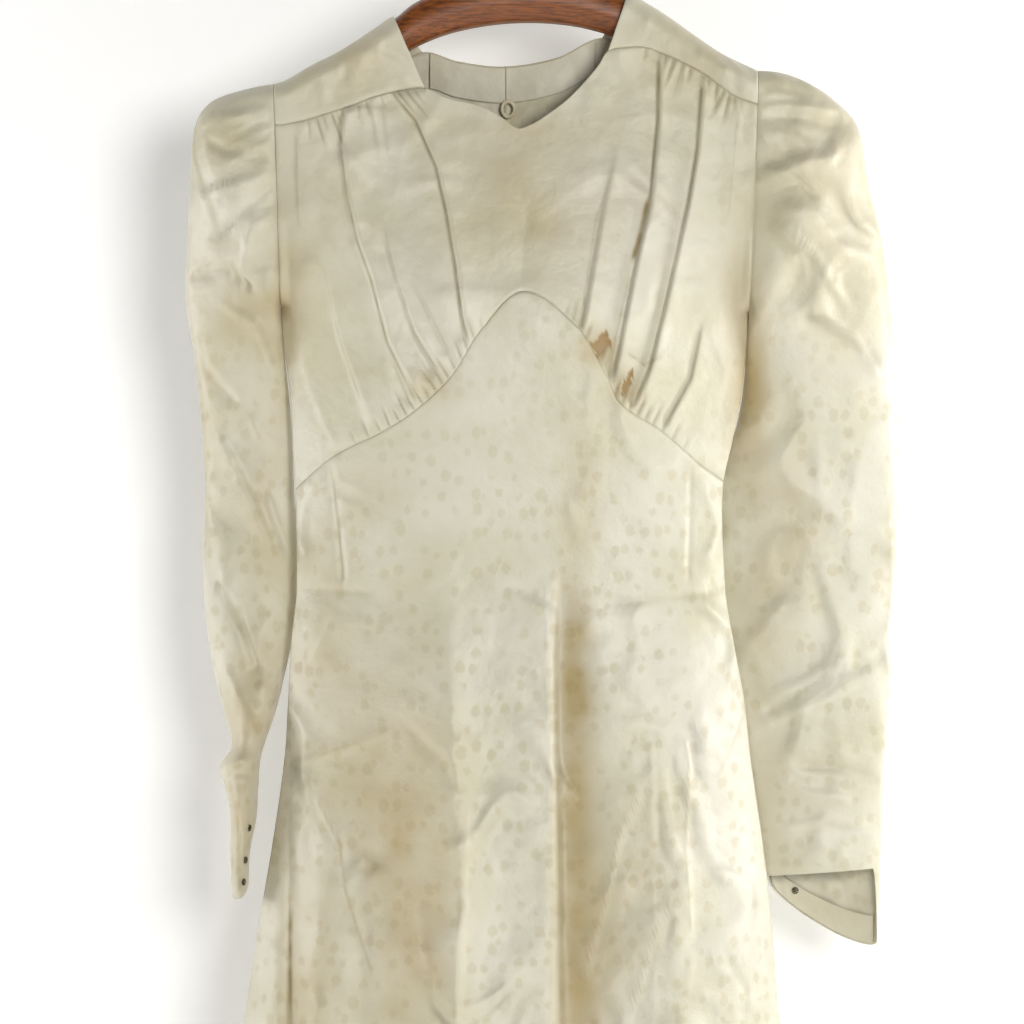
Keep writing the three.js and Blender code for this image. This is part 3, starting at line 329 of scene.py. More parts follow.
# An armhole is open from its top down to its widest height, and closes from there to the underarm
Armhole = namedtuple("Armhole", "side top widest underarm")
ARMHOLES = {"left": Armhole(-1, -155, -235, -325), "right": Armhole(1, -145, -235, -330)}
ARMHOLE_DEPTH = 23

# The front bodice is one piece of silk satin. It is gathered into both yokes and into the
# pointed seam under the bust, and its folds fan out between them. It has torn by that seam.
FRONT_TOP = [
    (-180, -187.5), (-162, -184), (-140, -177), (-127, -173), (-108, -165.5), (-89, -161),
    (-70, -159), (-51, -167), (-28, -172.5), (-12, -181), (1, -190), (11, -187.5), (22, -181),
    (42, -165.5), (63, -142), (70, -131), (84, -127.7), (100, -127.7), (111, -132), (127, -139),
    (143, -147.5), (159, -159.5), (169, -166), (185, -171.5),
]
UNDER_BUST = [
    (-170, -466.5), (-141, -442), (-101, -422), (-75, -405), (-48, -379), (-28, -347), (5, -316),
    (46, -342.5), (67, -376.5), (78, -400), (109, -421), (141, -447.5), (160, -461),
]
# The neck's edge on each yoke: its x at the front seam, on the shoulder's ridge and at the back
Neck = namedtuple("Neck", "front ridge back")
NECK_ENDS = {"left": Neck(-70, -94, -72), "right": Neck(70.5, 86, 66.5)}
CLOTH = 0.7  # thickness of the satin shell
SEAM_DIP = 0.6  # how deep the cloth turns in at a seam
SEAM_DIP_WIDTH = 1.6

# Each fold runs along its path of (x, z). rise is how far it stands out, and left and right are
# the widths of its flanks, all at its two ends, or one number for both; fade is how far it takes
# to come and go. Where one drape laps over the next, a ridge with one short flank lies beside a
# trough.
Fold = namedtuple("Fold", "rise left right fade path")
BODICE_FOLDS = [
    Fold((5, 6), (2.2, 2), (18, 10), (2, 12),
         [(-95, -158), (-75, -182), (-59, -219), (-51, -254), (-44, -295), (-39, -333), (-35, -352)]),
    Fold((-4, -6), (12, 7), (2.4, 2.2), (8, 14),
         [(-100, -160), (-79, -186), (-63, -221), (-55, -256), (-48, -297), (-43, -335), (-39, -358)]),
    Fold((3, 2), 3, (6, 10), (2, 30), [(-110, -166), (-106, -190), (-101, -224)]),
    Fold((-2.5, -1), (5, 6), (2, 3), (2, 26), [(-106, -166), (-102, -190), (-98, -226)]),
    Fold((2, 5), (2.4, 2.2), (10, 6), (24, 12), [(-99, -262), (-93, -290), (-75, -346), (-54, -378)]),
    Fold((-2, -4), (7, 4), (2.2, 2), (24, 12), [(-104, -264), (-98, -292), (-79, -350), (-60, -384)]),
    Fold((6, 7), (2.2, 2), (15, 8), (2, 12),
         [(-130, -172), (-132, -202), (-127, -241), (-119, -276), (-108, -306), (-96, -353), (-72, -398)]),
    Fold((-4, -6), (11, 7), (2.4, 2.2), (4, 12),
         [(-135, -176), (-137, -204), (-132, -243), (-124, -278), (-113, -309), (-100, -357), (-79, -405)]),
    Fold((1, 4), (2.6, 2.2), (9, 6), (20, 12),
         [(-150, -262), (-142, -308), (-134, -349), (-116, -398), (-108, -420)]),
    Fold((-1, -3), (7, 5), (2.4, 2.2), (20, 12), [(-146, -310), (-138, -351), (-121, -400), (-113, -424)]),
    Fold((3, 1.5), (3, 4), (10, 14), (2, 40), [(-165, -184), (-166, -224), (-164, -262), (-160, -290)]),
    Fold((-2, -1), (5, 6), (2.4, 3), (6, 30), [(-170, -190), (-171, -226), (-169, -270)]),
    Fold((2, 3), 3, (9, 6), (20, 12), [(-172, -323), (-160, -384), (-136, -438)]),
    Fold((-2, -4), (6, 5), 2, (15, 12), [(-84, -300), (-67, -332), (-50, -368)]),
    Fold(0.9, 1.3, 1.6, (4, 8), [(-156, -238), (-140, -252), (-125, -267)]),
    Fold((-0.8, -0.5), 2.5, 1.5, (4, 8), [(-131, -236), (-138, -243)]),
    Fold((5, 6), (2, 1.8), (15, 9), (2, 20),
         [(112, -128), (111, -183), (105, -247), (92, -300), (76, -384)]),
    Fold((-5, -6), (10, 7), (2, 1.8), (2, 16),
         [(108, -137), (107, -186), (101, -250), (88, -305), (72, -388)]),
    Fold(6, (2, 1.8), (14, 9), (2, 12),
         [(145, -150), (141, -205), (134, -245), (118, -317), (105, -370), (91, -404)]),
    Fold((-4, -6), (11, 7), (2, 1.8), (2, 12),
         [(141, -156), (137, -208), (130, -250), (114, -322), (101, -374), (87, -408)]),
    Fold((1, 5), (2.2, 1.8), (11, 7), (24, 12), [(80, -200), (68, -256), (57, -319), (52, -348)]),
    Fold((-1, -5), (9, 6), (2.2, 1.8), (24, 12), [(76, -200), (64, -258), (53, -322), (48, -352)]),
    Fold((3, 4), (2.2, 2), (10, 7), (20, 12), [(146, -330), (136, -381), (114, -421)]),
    Fold((-2, -4), (6, 5), (2.2, 2), (20, 12), [(142, -336), (132, -383), (110, -422)]),
    Fold((3, 2), (9, 8), 3, (2, 40), [(172, -168), (168, -210), (164, -262)]),
    Fold(-2, (9, 7), (9, 7), (30, 20), [(11, -235), (3, -316)]),
    Fold((0.8, 1.2), (20, 26), (24, 26), (30, 40), [(-20, -200), (-8, -250), (-14, -318)]),
    Fold((1.2, 1.0), (10, 14), (3, 4), (6, 30), [(121, -142), (113, -165), (112, -200)]),
    Fold((-1.6, -1), (2, 3), (5, 7), (4, 30), [(128, -146), (121, -175), (119, -210)]),
    Fold((1.0, 0.7), 2, 2, (4, 12), [(117, -252), (99, -268), (94, -289)]),
    Fold(1.2, 6, 2.4, (8, 10), [(84, -362), (98, -372), (116, -364)]),
]
# Short gathers beside the seams: where each starts on the seam, its slant, length and depth
Gather = namedtuple("Gather", "x slant length depth")
YOKE_GATHERS = [
    Gather(-159, 0.1, 20, 0.9), Gather(-153, 0.3, 30, 1.5), Gather(-148, 0.3, 15, 1.1),
    Gather(-142, 0.4, 34, 1.7), Gather(-138, 0.4, 13, 1.2), Gather(-133.5, 0.3, 12, 1.2),
    Gather(-121, 0.1, 18, 0.8), Gather(-115.5, 0.3, 14, 1.2), Gather(-104, 0.4, 12, 0.9),
    Gather(-91, 0.8, 22, 1.6), Gather(-85, 0.8, 28, 1.5), Gather(-79, 0.7, 16, 0.9),
    Gather(100, -0.2, 14, 1.0), Gather(115, -0.2, 14, 1.1), Gather(121.5, -0.35, 28, 1.5),
    Gather(128, -0.25, 34, 1.5), Gather(134, -0.2, 14, 1.1), Gather(148, -0.2, 12, 1.0),
    Gather(154, -0.1, 24, 1.6), Gather(160, -0.5, 28, 1.7), Gather(164, -0.25, 32, 1.6),
    Gather(168, -0.15, 16, 1.2), Gather(173, -0.1, 12, 0.8),
]
BUST_GATHERS = [
    Gather(-122, -0.5, 14, 0.9), Gather(-112, -0.4, 18, 1.2), Gather(-103, -0.5, 14, 1.2),
    Gather(-96, -0.4, 20, 1.5), Gather(-89, -0.5, 13, 1.3), Gather(-83, -0.5, 24, 1.6),
    Gather(-77, -0.6, 15, 1.4), Gather(-71, -0.6, 20, 1.5), Gather(-66, -0.6, 13, 1.3),
    Gather(-60.5, -0.7, 26, 1.6), Gather(-55.5, -0.6, 16, 1.4), Gather(-51, -0.6, 22, 1.5),
    Gather(-46, -0.5, 13, 1.2), Gather(-41, -0.4, 18, 1.4), Gather(-37, -0.3, 14, 1.2),
    Gather(-32, -0.3, 20, 1.1), Gather(-26, -0.2, 10, 0.7),
    Gather(38, 0.2, 12, 0.8), Gather(43, 0.3, 22, 1.2), Gather(48, 0.3, 18, 1.3),
    Gather(53, 0.4, 16, 1.2), Gather(64, 0.4, 14, 1.3), Gather(70, 0.4, 22, 1.5),
    Gather(75, 0.4, 16, 1.3), Gather(80.5, 0.4, 24, 1.6), Gather(86, 0.4, 14, 1.3),
    Gather(92, 0.5, 22, 1.5), Gather(98, 0.5, 14, 1.2), Gather(104, 0.5, 20, 1.4),
    Gather(111, 0.5, 13, 1.1), Gather(119, 0.5, 18, 1.0), Gather(128, 0.4, 12, 0.7),
]


def smooth(value, low, high):
    """0 below low, 1 above high and an even S between them."""
    t = np.clip((value - low) / (high - low), 0, 1)
    return t * t * (3 - 2 * t)


def blend(start, end, share):
    return start + (end - start) * share


def both(ends):
    """The values at two ends, where one number stands for both."""
    return ends if isinstance(ends, tuple) else (ends, ends)


def from_path(path, x, z):
    """For each point: how far along the path its nearest point lies, how far off it is, the
    path's whole length, and on which side (negative is the left of its direction)."""
    path = np.asarray(path, float)
    nearest = np.full(np.shape(x), np.inf)
    place_along = np.zeros(np.shape(x))
    side = np.zeros(np.shape(x))
    travelled = 0.0
    for start, end in zip(path[:-1], path[1:]):
        length = math.hypot(*(end - start))
        ux, uz = (end - start) / length
        along = np.clip((x - start[0]) * ux + (z - start[1]) * uz, 0, length)
        dx, dz = x - start[0] - ux * along, z - start[1] - uz * along
        off = np.hypot(dx, dz)
        closer = off < nearest
        nearest = np.where(closer, off, nearest)
        place_along = np.where(closer, travelled + along, place_along)
        side = np.where(closer, dx * -uz + dz * ux, side)
        travelled += length
    return place_along, nearest, travelled, side


FOLD_REACH = 3.2  # a fold is nothing beyond this many times its widest flank
WIDE_FLANK = 5


def relief_of(folds, x, z):
    """How far the cloth stands out at each point: the sum of its folds. Across its path a fold is
    a bell whose flanks differ in width, and a wide flank runs out softer than a bell."""
    total = np.zeros(np.shape(x))
    for fold in folds:
        path = np.asarray(fold.path, float)
        left, right = both(fold.left), both(fold.right)
        reach = FOLD_REACH * max(*left, *right)
        near = (x > path[:, 0].min() - reach) & (x < path[:, 0].max() + reach)
        near &= (z > path[:, 1].min() - reach) & (z < path[:, 1].max() + reach)
        if not near.any():
            continue
        along, off, length, side = from_path(path, x[near], z[near])
        share = along / length
        flank = np.where(side < 0, blend(*left, share), blend(*right, share))
        power = np.where(flank > WIDE_FLANK, 1.5, 2.0)
        rise = blend(*both(fold.rise), share)
        for from_end, fade in zip((along, length - along), fold.fade):
            if fade:
                rise = rise * smooth(from_end, 0, fade)
        total[near] += rise * np.exp(-((off / flank) ** power))
    return total


def gathers_of(gathers, line, x, z, down):
    """Short troughs that start on a seam line of heights over x and fade into the panel, as two
    grids: how far the cloth stands out, and how dark the trough is painted, as shade. down is 1
    where the panel lies below the seam and -1 where it lies above."""
    total, crease_shade = np.zeros(np.shape(x)), np.zeros(np.shape(x))
    for gather in gathers:
        start = line(gather.x)
        below = (start - z) * down
        middle = gather.x + gather.slant * below
        width = 1.5 + 0.06 * below.clip(0)
        fades = smooth(below, -1, 3) * (1 - smooth(below, gather.length * 0.3, gather.length))
        trough = -np.exp(-(((x - middle) / width) ** 2))
        swell = 0.5 * np.exp(-(((x - middle - 2.6) / (1.3 * width)) ** 2))
        total += 0.8 * gather.depth * fades * (trough + swell)
        # painted shade along the bottom of each trough
        crease_shade += 0.4 * gather.depth * fades * np.exp(-(((x - middle) / 0.9) ** 2))
    return total, crease_shade


# The sharpest creases are painted darker, as thin brownish lines of shade: how dark each is at
# its two ends, or all along, how wide, over how far it comes and goes, and its path of (x, z).
Crease = namedtuple("Crease", "dark wide fade path")
BODICE_CREASES = [
    Crease((0.8, 1.0), 0.9, 8,
           [(-97, -160), (-77, -184), (-61, -220), (-53, -255), (-46, -296), (-41, -334), (-36, -356)]),
    Crease((0.5, 0.9), 0.9, 14,
           [(-132, -174), (-134, -203), (-129, -242), (-121, -277), (-110, -308), (-98, -355), (-75, -402)]),
    Crease((0.3, 0.7), 0.8, 14, [(-101, -263), (-95, -291), (-77, -348), (-57, -381)]),
    Crease((0.2, 0.6), 0.8, 14, [(-148, -290), (-140, -330), (-135, -351), (-118, -400)]),
    Crease((0.2, 0.5), 0.8, 14, [(-86, -298), (-69, -331), (-52, -367)]),
    Crease((0.4, 0.3), 0.8, 10, [(-168, -192), (-168, -228), (-166, -268)]),
    Crease((0.9, 0.6), 1.0, 8, [(110, -134), (109, -184), (102, -248)]),
    Crease(1.5, 1.7, 10, [(102, -240), (94, -275), (88, -296)]),
    Crease(0.5, 0.8, 10, [(88, -300), (76, -350), (69, -384)]),
    Crease((0.7, 0.6), 0.9, 10, [(143, -154), (139, -207), (132, -248), (126, -272)]),
    Crease((0.4, 0.7), 0.8, 12, [(122, -290), (109, -345), (96, -404)]),
    Crease((0.3, 0.9), 0.9, 20, [(76, -220), (61, -260), (52, -322), (48, -350)]),
    Crease((0.3, 0.7), 0.8, 16, [(144, -336), (134, -382), (112, -422)]),
    Crease((0.4, 0.2), 0.8, 12, [(170, -180), (167, -212), (162, -262)]),
    Crease(0.5, 0.8, 5, [(84, -362), (98, -372), (114, -364)]),
]


def crease_shading(creases, x, z):
    """How dark the creases are painted at each point, as shade in them."""
    total = np.zeros(np.shape(x))
    for crease in creases:
        along, off, length, _ = from_path(crease.path, x, z)
        fades = smooth(along, 0, crease.fade) * smooth(length - along, 0, crease.fade)
        fades = fades * (0.75 + 0.35 * wandering(x, z, 9, 91))
        dark = blend(*both(crease.dark), along / length)
        total += dark * fades * np.exp(-((off / crease.wide) ** 2))
    return total


def wandering(x, z, size, seed):
    """Smooth noise from -1 to 1: seeded values at the corners of squares of the given size,
    joined by even S curves."""
    table = np.random.default_rng(seed).uniform(-1, 1, (64, 64))
    gx, gz = x / size, z / size
    ix, iz = np.floor(gx).astype(int), np.floor(gz).astype(int)
    tx, tz = smooth(gx - ix, 0, 1), smooth(gz - iz, 0, 1)
    corner = [table[(iz + j) % 64, (ix + i) % 64] for j in (0, 1) for i in (0, 1)]
    return blend(blend(corner[0], corner[1], tx), blend(corner[2], corner[3], tx), tz)


def crumpled(x, z, size, seed):
    """Soft creases where smooth noise passes through nought, bent by slower noise. From 0 between
    creases to 1 along them."""
    bend = size * 0.8
    xb = x + bend * wandering(x, z, size * 2.3, seed + 1)
    zb = z + bend * wandering(x, z, size * 2.3, seed + 2)
    return (1 - np.abs(wandering(xb, zb, size, seed))) ** 3


def section(name, z):
    return value_of(SECTIONS, "z", name, z)


def body_x(u, z):
    """Across the dress at height z, u goes from -1 at its left edge to 1 at its right one. Lower
    down the columns crowd to the sides, where the skirt turns away."""
    left, right = section("left", z), section("right", z)
    crowded = 0.5 * smooth(-z, 320, 560)
    across = blend(u, np.sin(math.pi / 2 * u), crowded)
    return (left + right) / 2 + (right - left) / 2 * across


COLUMN_Z = -150.0  # the height at which a column is named by its x


def column_of(x, z):
    left, right = section("left", z), section("right", z)
    return (x - (left + right) / 2) / ((right - left) / 2)


def armhole_depth(hole, z):
    """Half the depth of an open armhole: full down to its middle, then closing as a flattened
    circle to the underarm."""
    share = np.clip((hole.widest - z) / (hole.widest - hole.underarm), 0, 1)
    return ARMHOLE_DEPTH * (1 - share**2.4) ** (1 / 2.4)


def body_out(side, u, z):
    """How far the unfolded dress stands out from its middle plane: the armhole's half depth at
    the edges, swelling to the section's depth at the centre. Away from the edge the armhole's
    depth runs out slowly under the arm, so that the cloth shows no step there."""
    reach = np.minimum(np.abs(u), 1)
    hole_depth, closed = 0, 0
    for hole in ARMHOLES.values():
        here = (u * hole.side > 0) | ((u == 0) & (hole.side > 0))
        slow = ARMHOLE_DEPTH * (1 - smooth(hole.widest - z, 10, 130))
        at_edge = blend(slow, armhole_depth(hole, z), smooth(reach, 0.95, 1))
        hole_depth = np.where(here, at_edge, hole_depth)
        closed = np.where(here, smooth(hole.underarm - z, 0, 60), closed)
    lower = 1 - reach**2.5 if side < 0 else np.cos(math.pi / 2 * reach)
    swell = blend(1 - reach**2.4, lower, closed)
    depth = section("front" if side < 0 else "back", z)
    return hole_depth + (depth - hole_depth) * swell


def line_over_x(points):
    """A seam or edge as a smooth line of heights over x."""
    xs, zs = zip(*points)
    return lambda x: through(xs, zs, x)


def meets(line, u):
    """The height at which each column u of the dress meets a line of heights over x: the height
    and the column's place at it are found in turn, each step going half the way."""
    z = line(body_x(u, -300.0 + 0 * u))
    for _ in range(24):
        z = (z + line(body_x(u, z))) / 2
    return z


def panel_grid(side, u, top, bottom, rows):
    """Columns u between two lines of heights, with rows at the given shares of the way down:
    grids of u, z, x and the unfolded depth."""
    z = blend(meets(top, u), meets(bottom, u), rows[:, None])
    u = np.broadcast_to(u, z.shape)
    return u, z, body_x(u, z), body_out(side, u, z)


def travel(points, axis):
    """Length along the rows or columns of a grid of points, from their first point."""
    steps = np.linalg.norm(np.diff(points, axis=axis), axis=-1)
    pad = [(1, 0) if i == axis else (0, 0) for i in (0, 1)]
    return np.cumsum(np.pad(steps, pad), axis=axis)


def cloth_uv(unfolded, middle=None):
    """Where each point lies in the flat cloth, whose threads hang straight: across, the length
    round the unfolded surface from its middle column; down, the height."""
    level = unfolded * (1, 1, 0)
    across = travel(level, 1)
    middle = unfolded.shape[1] // 2 if middle is None else middle
    across = across - across[:, middle:middle + 1]
    return np.stack([across + unfolded[:, middle:middle + 1, 0], unfolded[..., 2]], axis=-1)


front_top = line_over_x(FRONT_TOP)
under_bust = line_over_x(UNDER_BUST)


def free(u):
    """1 across a panel, and 0 at its side edges, where it keeps to its unfolded form."""
    return 1 - np.abs(u) ** 8


def seam_dip(off):
    """How deep the cloth turns in, at a distance from a seam."""
    return SEAM_DIP * np.exp(-((off / SEAM_DIP_WIDTH) ** 2))


def armhole_dips(x, z):
    """The same along both armholes, down to the underarm."""
    dip = np.zeros(x.shape)
    for name, hole in ARMHOLES.items():
        dip += seam_dip(x - section(name, z)) * smooth(z, hole.underarm, hole.underarm + 30)
    return dip


# Where the cloth has yellowed, and where the same yellow is painted on as shade: along the
# sleeves' inner edges against the body, on the yokes, on the upper right sleeve and in the
# skirt's valley right of its centre fold. Each patch by its middle, its reach to the side and up,
# and how yellow it is. The same patches show through on the back.
StainAndShade = namedtuple("StainAndShade", "x z wide tall strength")
STAINS_AND_SHADE = [
    StainAndShade(-176, -330, 16, 60, 0.5), StainAndShade(172, -345, 16, 70, 0.5), StainAndShade(176, -420, 14, 50, 0.4),
    StainAndShade(0, -230, 26, 40, 0.25), StainAndShade(-10, -190, 50, 14, 0.3), StainAndShade(62, -362, 16, 14, 0.7),
    StainAndShade(82, -390, 14, 16, 0.6), StainAndShade(-62, -386, 18, 14, 0.4), StainAndShade(20, -270, 18, 26, 0.2),
    StainAndShade(52, -470, 22, 40, 0.25), StainAndShade(-110, -470, 30, 24, 0.25), StainAndShade(-150, -520, 22, 30, 0.3),
    StainAndShade(44, -600, 12, 50, 0.4), StainAndShade(-60, -760, 30, 110, 0.25), StainAndShade(90, -760, 40, 70, 0.3),
    StainAndShade(-120, -690, 26, 60, 0.3), StainAndShade(56, -860, 22, 70, 0.6), StainAndShade(-160, -860, 20, 90, 0.35),
    StainAndShade(186, -390, 12, 70, 0.45), StainAndShade(190, -560, 16, 90, 0.3), StainAndShade(-214, -330, 26, 40, 0.45),
    StainAndShade(-224, -200, 26, 30, 0.3), StainAndShade(-196, -470, 18, 90, 0.4), StainAndShade(-208, -640, 18, 40, 0.5),
    StainAndShade(-212, -720, 12, 40, 0.5), StainAndShade(250, -330, 40, 60, 0.2), StainAndShade(220, -700, 40, 40, 0.25),
    StainAndShade(240, -790, 40, 20, 0.3), StainAndShade(214, -500, 20, 60, 0.4), StainAndShade(236, -215, 50, 90, 0.35),
    StainAndShade(-130, -135, 60, 32, 0.35), StainAndShade(140, -130, 60, 34, 0.3), StainAndShade(0, -240, 160, 90, 0.2),
    StainAndShade(-160, -240, 40, 90, 0.15), StainAndShade(-165, -720, 50, 190, 0.25), StainAndShade(-86, -770, 32, 160, 0.6),
    StainAndShade(46, -720, 15, 170, 0.8), StainAndShade(-244, -420, 20, 160, 0.3), StainAndShade(-150, -600, 40, 40, 0.2),
]


def stains_and_shade_of(stain_and_shade_patches, points):
    """How yellow the cloth is at each point, from stains and from painted shade: soft patches, their edges
    broken by noise.
    """
    x, z = points[..., 0], points[..., 2]
    total = np.zeros(x.shape)
    for stain in stain_and_shade_patches:
        patch = ((x - stain.x) / stain.wide) ** 2 + ((z - stain.z) / stain.tall) ** 2
        total += stain.strength * np.exp(-patch)
    return total * (1 + 0.35 * wandering(x, z, 18, 71))


def spotted_satin(tree):
    """Old ivory silk satin. Its ground is smooth and shines in long soft highlights; the spots
    are woven the other way up, 6 to 9 mm across in loose groups, and look darker and duller. The
    cloth has yellowed in soft patches, and more patches of the same yellow are painted shade; its
    creases and gathers are painted darker as shade, and its surface is faintly cockled. Each
    vertex says how much of this it has, by the attributes that cloth_piece adds."""
    cloth = add_node(tree, "UVMap", {"uv_map": "cloth"}).outputs[0]

    def noise(scale, detail, **more):
        return add_node(tree, "TexNoise", {"noise_dimensions": "2D"}, {
            "Vector": cloth, "Scale": scale, "Detail": detail, **more}).outputs

    def math_of(operation, *values):
        return add_node(tree, "Math", {"operation": operation}, dict(enumerate(values))).outputs[0]

    def ranged(value, kind="LINEAR", **ends):
        ends = {key.replace("_", " "): end for key, end in ends.items()}
        return add_node(tree, "MapRange", {"interpolation_type": kind}, {
            "Value": value, **ends}).outputs[0]

    def attribute(name):
        return add_node(tree, "Attribute", {"attribute_name": name}).outputs["Fac"]

    pushed = add_node(tree, "VectorMath", {"operation": "MULTIPLY_ADD"}, {
        0: noise(210.0, 2.0)["Color"], 1: (0.004, 0.004, 0), 2: cloth})
    taller = add_node(tree, "Mapping", values={"Vector": pushed.outputs[0], "Scale": (1, 0.8, 1)})
    cells = add_node(tree, "TexVoronoi", {"voronoi_dimensions": "2D"}, {
        "Vector": taller.outputs[0], "Scale": 84.0, "Randomness": 0.75})
    chance = add_node(tree, "SeparateColor", values={"Color": cells.outputs["Color"]}).outputs
    size = ranged(chance[0], To_Min=0.2, To_Max=0.35)
    inside = math_of("SUBTRACT", size, cells.outputs["Distance"])
    spot = ranged(inside, "SMOOTHSTEP", From_Min=-0.1, From_Max=0.1)
    grouped = math_of("MULTIPLY_ADD", chance[1], 0.35, noise(38.0, 1.0)[0])
    there = ranged(grouped, "SMOOTHSTEP", From_Min=0.58, From_Max=0.74)
    spots = math_of("MULTIPLY", math_of("MULTIPLY", spot, there), attribute("spots"))

    tone = two_tones(tree, noise(9.0, 4.0, Roughness=0.6)[0], 0.3, "#cbc6ac", 0.7, "#dcd8c8")
    # yellowed patches, and patches of the same yellow painted on as shade
    aged_and_shaded = mixed(tree, attribute("yellowing_and_shade"), tone, srgb("#b5a377"))
    spotted = mixed(tree, math_of("MULTIPLY", spots, 0.26), aged_and_shaded, srgb("#dcd0ae"), "MULTIPLY")
    # the creases and gathers painted darker, as shade
    crease_shaded = mixed(tree, attribute("crease_shade"), spotted, srgb("#8d7c50"))
    colour = mixed(tree, attribute("raw"), crease_shaded, srgb("#a3875a"))

    ridges = add_node(tree, "TexNoise", {
        "noise_dimensions": "2D", "noise_type": "RIDGED_MULTIFRACTAL"}, {
        "Vector": cloth, "Scale": 15.0, "Detail": 6.0, "Roughness": 0.62, "Distortion": 0.8})
    wrinkled = math_of("MULTIPLY", ridges.outputs[0], attribute("wrinkled"))
    wrinkles = bump(tree, 1.0, 0.009, wrinkled)
    cockled = bump(tree, 0.5, 0.0014, noise(85.0, 4.0, Roughness=0.55)[0], Normal=wrinkles)
    woven = bump(tree, 0.12, 0.0002, noise(900.0, 2.0)[0], Normal=cockled)
    shader = add_node(tree, "BsdfPrincipled", values={
        "Base Color": colour, "Roughness": ranged(spots, To_Min=0.46, To_Max=0.6), "IOR": 1.5,
        "Sheen Weight": 0.15, "Sheen Roughness": 0.35, "Normal": woven})
    return shader.outputs[0]


satin = finish("spotted_silk_satin", spotted_satin)


def cloth_piece(node, points, uv, spots, closed=False, thickness=CLOTH, raw=0, crease_shade=0,
                wrinkled=0.5):
    """Make a satin piece of a grid of points for its node. spots, raw, the painted crease shade and
    wrinkled say how much of each shows, for the piece or for each point."""
    mesh = grid_mesh(f"{node}_cloth", points, uv=uv, closed=closed)
    # the yellow patches hold stains and painted shade; the crease colour is painted shade
    shows = {"yellowing_and_shade": stains_and_shade_of(STAINS_AND_SHADE, points), "raw": raw, "crease_shade": crease_shade,
             "wrinkled": wrinkled, "spots": spots}
    for name, values in shows.items():
        layer = mesh.attributes.new(name, "FLOAT", "POINT")
        values = np.broadcast_to(values, points.shape[:2])
        layer.data.foreach_set("value", values.astype(np.float32).ravel())
    piece = place(mesh, satin, [node])
    solid = piece.modifiers.new("thickness", "SOLIDIFY")  # half to each side, its edges closed
    solid.thickness = thickness * MM
    solid.offset = 0


# Where the gathers pulled out of the seam the cloth has torn. The raw fibres of what lies folded
# under it show brown in the tear.
Rip = namedtuple("Rip", "x z wide tall slant")
RIPS = [Rip(65, -356, 8, 11, 0.35), Rip(85, -385, 4, 14, 0.4)]
RIP_DEEP = 1.8


def torn(x, z):
    """From 0 outside either rip to 1 in its middle: slanting lozenges with ragged edges."""
    ragged = 0.32 * wandering(x, z, 2.2, 5) + 0.2 * wandering(x, z, 1.1, 6)
    inside = np.zeros(x.shape)
    for rip in RIPS:
        along = np.abs(z - rip.z) / rip.tall
        across = np.abs(x - rip.x - rip.slant * (z - rip.z)) / rip.wide
        inside = np.maximum(inside, 1 - across - along - ragged)
    return inside


BODICE_COLUMNS, BODICE_ROWS = 320, 150  # points of the grid across and down
BODICE_FLATTER = 0.62  # the share of its folds' rise that the gathered front has


def bodice_front():
    u = np.linspace(-1, 1, BODICE_COLUMNS)
    rows = np.linspace(0, 1, BODICE_ROWS)
    u, z, x, out = panel_grid(-1, u, front_top, under_bust, rows)
    top, bottom = front_top(x), under_bust(x)
    relief = relief_of(BODICE_FOLDS, x, z)
    relief += 1.1 * wandering(x, z, 34, 11) + 0.5 * wandering(x, z, 13, 12)
    relief += 0.7 * crumpled(x, z, 26, 13) * smooth(np.abs(x), 20, 110)
    on_seam = (x < NECK_ENDS["left"].front) | (x > NECK_ENDS["right"].front)
    ease = smooth(top - z, 0, 7) ** 0.6 * on_seam + smooth(top - z, -20, 5) * ~on_seam
    ease = ease * smooth(z - bottom, -0.5, 7) ** 0.6
    relief = BODICE_FLATTER * relief * ease
    # painted shade along the creases, and below along the gathers' troughs
    crease_shade = crease_shading(BODICE_CREASES, x, z)
    for gathers, line, down in ((YOKE_GATHERS, front_top, 1), (BUST_GATHERS, under_bust, -1)):
        drawn, crease_shaded = gathers_of(gathers, line, x, z, down)
        relief += drawn
        crease_shade += crease_shaded
    relief *= free(u)
    relief -= armhole_dips(x, z) + seam_dip(z - bottom) + seam_dip(z - top) * on_seam
    rip = torn(x, z)
    relief -= RIP_DEEP * smooth(rip, 0, 0.12)
    cloth_piece("bodice_front", grid_of(x, -(out + relief), z), cloth_uv(grid_of(x, -out, z)),
                spots=0.25 + 0.3 * smooth(-z, 330, 440),
                raw=smooth(rip, 0, 0.1), crease_shade=crease_shade,
                wrinkled=blend(0.15, 0.5, smooth(np.abs(x - 8), 20, 90)))


bodice_front()


